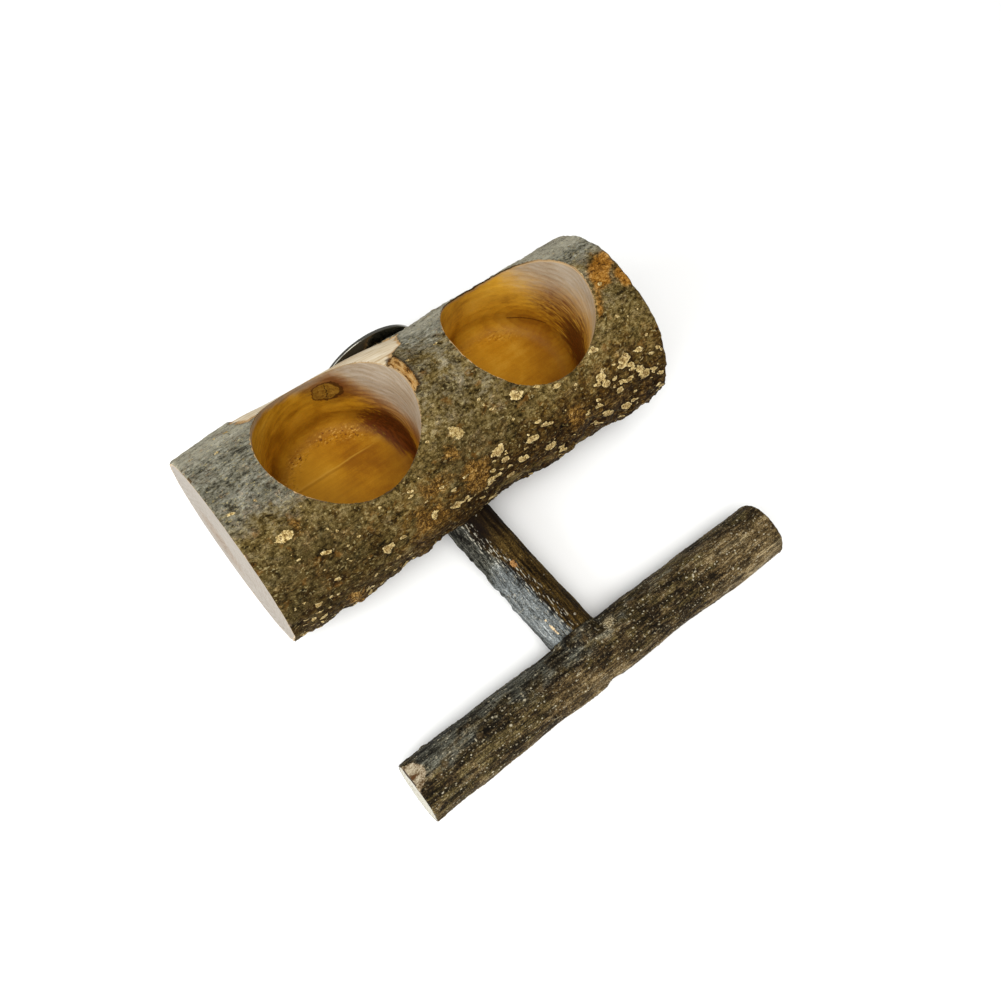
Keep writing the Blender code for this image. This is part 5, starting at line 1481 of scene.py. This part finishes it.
def build_nut():
    o = np.array([BOLT_X, 63.107 - SHIFT[1], BOLT_Z])
    tilt = math.radians(20)
    w = np.array([math.cos(tilt), 0, math.sin(tilt)])
    n = np.array([-math.sin(tilt), 0, math.cos(tilt)])
    up = np.array([0, 1.0, 0])
    body = lathe("wing_nut", [(0, 0.05), (5.5, 0.05), (5.95, 0.45), (5.95, 1.0), (5.5, 2.2), (5.0, 4.2), (4.6, 5.6), (4.2, 5.95), (0, 5.95)], o, up, w, 96)
    wings = []
    for sgn in (1, -1):
        pts = [(3.6, 0.8), (5.6, 0.9), (7.4, 1.7), (9.2, 3.0), (10.9, 4.5)]
        for t in np.linspace(-0.55, 2.55, 12):
            pts.append((9.55 + 2.25 * math.cos(t), 5.65 + 2.25 * math.sin(t)))
        pts += [(7.1, 5.4), (6.0, 4.7), (5.0, 4.4), (3.6, 4.8)]
        pts = np.array(pts)
        c = pts.mean(0)
        rings = []
        for off, s in ((-0.98, 0.86), (-0.8, 0.95), (-0.35, 1.0), (0.35, 1.0), (0.8, 0.95), (0.98, 0.86)):
            q = c + (pts - c) * s
            rings.append(o + sgn * q[:, 0][:, None] * w + q[:, 1][:, None] * up + off * n)
        rings = np.array(rings)
        wings.append(outward(tube("wing", rings, rings[0].mean(0), rings[-1].mean(0))))
    cut(body, *wings, how="UNION")
    body.data.remesh_voxel_size = 0.00017
    mod = body.modifiers.new("cast", "REMESH")
    mod.mode, mod.voxel_size = "VOXEL", 0.00017
    mod = body.modifiers.new("soft", "SMOOTH")
    mod.factor, mod.iterations = 0.5, 9
    settle(body)
    # threaded bore
    ys, a, R = thread_rings(72, -0.6, 6.8, 0.10, 1.0, 2.97, 3.22, 0.01, 0.01)
    circ = np.cos(a)[:, None] * np.array([0, 0, 1.0]) + np.sin(a)[:, None] * np.array([1.0, 0, 0])
    R = np.maximum(R, 2.97 + np.maximum(0, 0.55 - np.abs(ys - 0.05))[:, None] * 0.9)
    rings = np.array([o + np.array([0, y, 0]) + r[:, None] * circ for y, r in zip(ys, R)])
    cut(body, tube("bore", rings, o + (0, ys[0], 0), o + (0, ys[-1], 0)))
    body.data.materials.clear()
    body.data.materials.append(steel_look("nut_steel", (190, 186, 176), 0.26, 0.48))
    rounded(body, 48)
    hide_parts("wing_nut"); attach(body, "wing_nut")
    return body


def build_screw():
    top = STEM_P + STEM_U * SCREW_TOP
    ax = -STEM_U
    e1 = np.cross(ax, [0, 0, 1.0]); e1 /= np.linalg.norm(e1)
    e2 = np.cross(ax, e1)
    m = 64
    a = np.arange(m) * 2 * math.pi / m
    circ = np.cos(a)[:, None] * e1 + np.sin(a)[:, None] * e2
    rings = []
    for h, r in ((0.0, 0.8), (0.0, 2.2), (0.02, 3.4), (0.10, 3.78), (0.32, 3.85), (0.9, 3.25), (1.6, 2.55), (2.2, 2.02), (3.0, 1.92), (12.0, 1.92), (12.6, 1.75)):
        rings.append(top + h * ax + r * circ)
    ys, _, R = thread_rings(m, 12.8, 36.6, 0.16, 1.8, 1.35, 1.98, 2.0, 3.0)
    for h, r in zip(ys, R):
        taper = 1 - 0.55 * smooth(np.array(h), 33.0, 36.6)
        rings.append(top + h * ax + (r * taper)[:, None] * circ)
    for h, r in ((37.6, 0.5), (38.6, 0.25), (39.4, 0.08)):
        rings.append(top + h * ax + r * circ)
    ob = tube("screw", np.array(rings), top, top + 39.7 * ax)
    # cross recess
    blades = []
    for d in (e1 * 0.94 + e2 * 0.34, e2 * 0.94 - e1 * 0.34):
        s = np.cross(ax, d)
        rr = []
        for h, half, wide in ((-0.5, 2.05, 0.42), (0.4, 1.85, 0.38), (1.2, 1.25, 0.30), (1.9, 0.6, 0.22)):
            rr.append([top + h * ax + half * d + wide * s, top + h * ax - half * d + wide * s,
                       top + h * ax - half * d - wide * s, top + h * ax + half * d - wide * s])
        rr = np.array(rr)
        blades.append(outward(tube("recess", rr, rr[0].mean(0), rr[-1].mean(0))))
    cut(ob, *blades)
    ob.data.materials.clear()
    ob.data.materials.append(steel_look("screw_steel", (176, 168, 150), 0.25, 0.45))
    rounded(ob, 45)
    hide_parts("crossbar_screw"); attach(ob, "stand")
    return ob


build_log()
build_bar()
build_stem()
build_dowel()
build_bolt()
build_washer()
build_nut()
build_screw()


# ---------------------------------------------------------------- studio
def floor():
    n = 24
    g = np.linspace(-2500, 2500, n)
    X, Y = np.meshgrid(g, g, indexing="ij")
    v = np.stack([X, Y, np.full(X.shape, FLOOR_Z - 0.01)], -1).reshape(-1, 3)
    q = [[i * n + j, (i + 1) * n + j, (i + 1) * n + j + 1, i * n + j + 1] for i in range(n - 1) for j in range(n - 1)]
    ob = make("floor", v, q)
    k = Look("floor_paper")
    p = k.pos()
    cloud = k.noise(p, 0.004, 2, 0.5)
    tooth = k.noise(p, 0.6, 2, 0.5)
    col = k.mix(k.band(cloud, 0.3, 0.7), rgb(243, 243, 242), rgb(248, 248, 247))
    k.bump(tooth, 0.02, 0.1)
    ob.data.materials.append(k.done(col, k.band(tooth, 0.3, 0.7, 0.85, 0.95), 0.0, 0.2))


def lamp(name, place, aim, size, power, colour):
    data = bpy.data.lights.new(name, "AREA")
    data.shape, data.size, data.size_y = "RECTANGLE", size[0], size[1]
    data.energy, data.color = power, colour
    ob = bpy.data.objects.new(name, data)
    bpy.context.scene.collection.objects.link(ob)
    ob.location = place
    ob.rotation_euler = (Vector(aim) - Vector(place)).to_track_quat("-Z", "Y").to_euler()


floor()
world = bpy.data.worlds.new("studio")
world.use_nodes = True
bg = world.node_tree.nodes["Background"]
bg.inputs["Color"].default_value = (0.98, 0.99, 1.0, 1.0)
bg.inputs["Strength"].default_value = 0.48
bpy.context.scene.world = world
lamp("window", (-0.85, -0.10, 0.50), (0, 0.0, 0.03), (0.7, 0.6), 6.5, (0.95, 0.98, 1.0))
lamp("key", (-0.34, -0.34, 1.08), (0, 0.0, 0.03), (0.8, 0.8), 13.0, (1.0, 0.99, 0.97))

cam_data = bpy.data.cameras.new("camera")
cam_data.sensor_fit, cam_data.sensor_width = "HORIZONTAL", 36.0
cam_data.lens = 36.0 * FOCAL / FRAME_PX
cam_data.clip_start, cam_data.clip_end = 0.01, 20.0
cam = bpy.data.objects.new("camera", cam_data)
bpy.context.scene.collection.objects.link(cam)
place = (CAM + SHIFT) * MM
m = Matrix.Identity(4)
for c in range(3):
    for r in range(3):
        m[r][c] = AXES[c][r]
m.translation = Vector(place)
cam.matrix_world = m
bpy.context.scene.camera = cam

bpy.context.scene.view_settings.view_transform = "Standard"
bpy.context.scene.view_settings.look = "None"

bpy.context.view_layer.update()
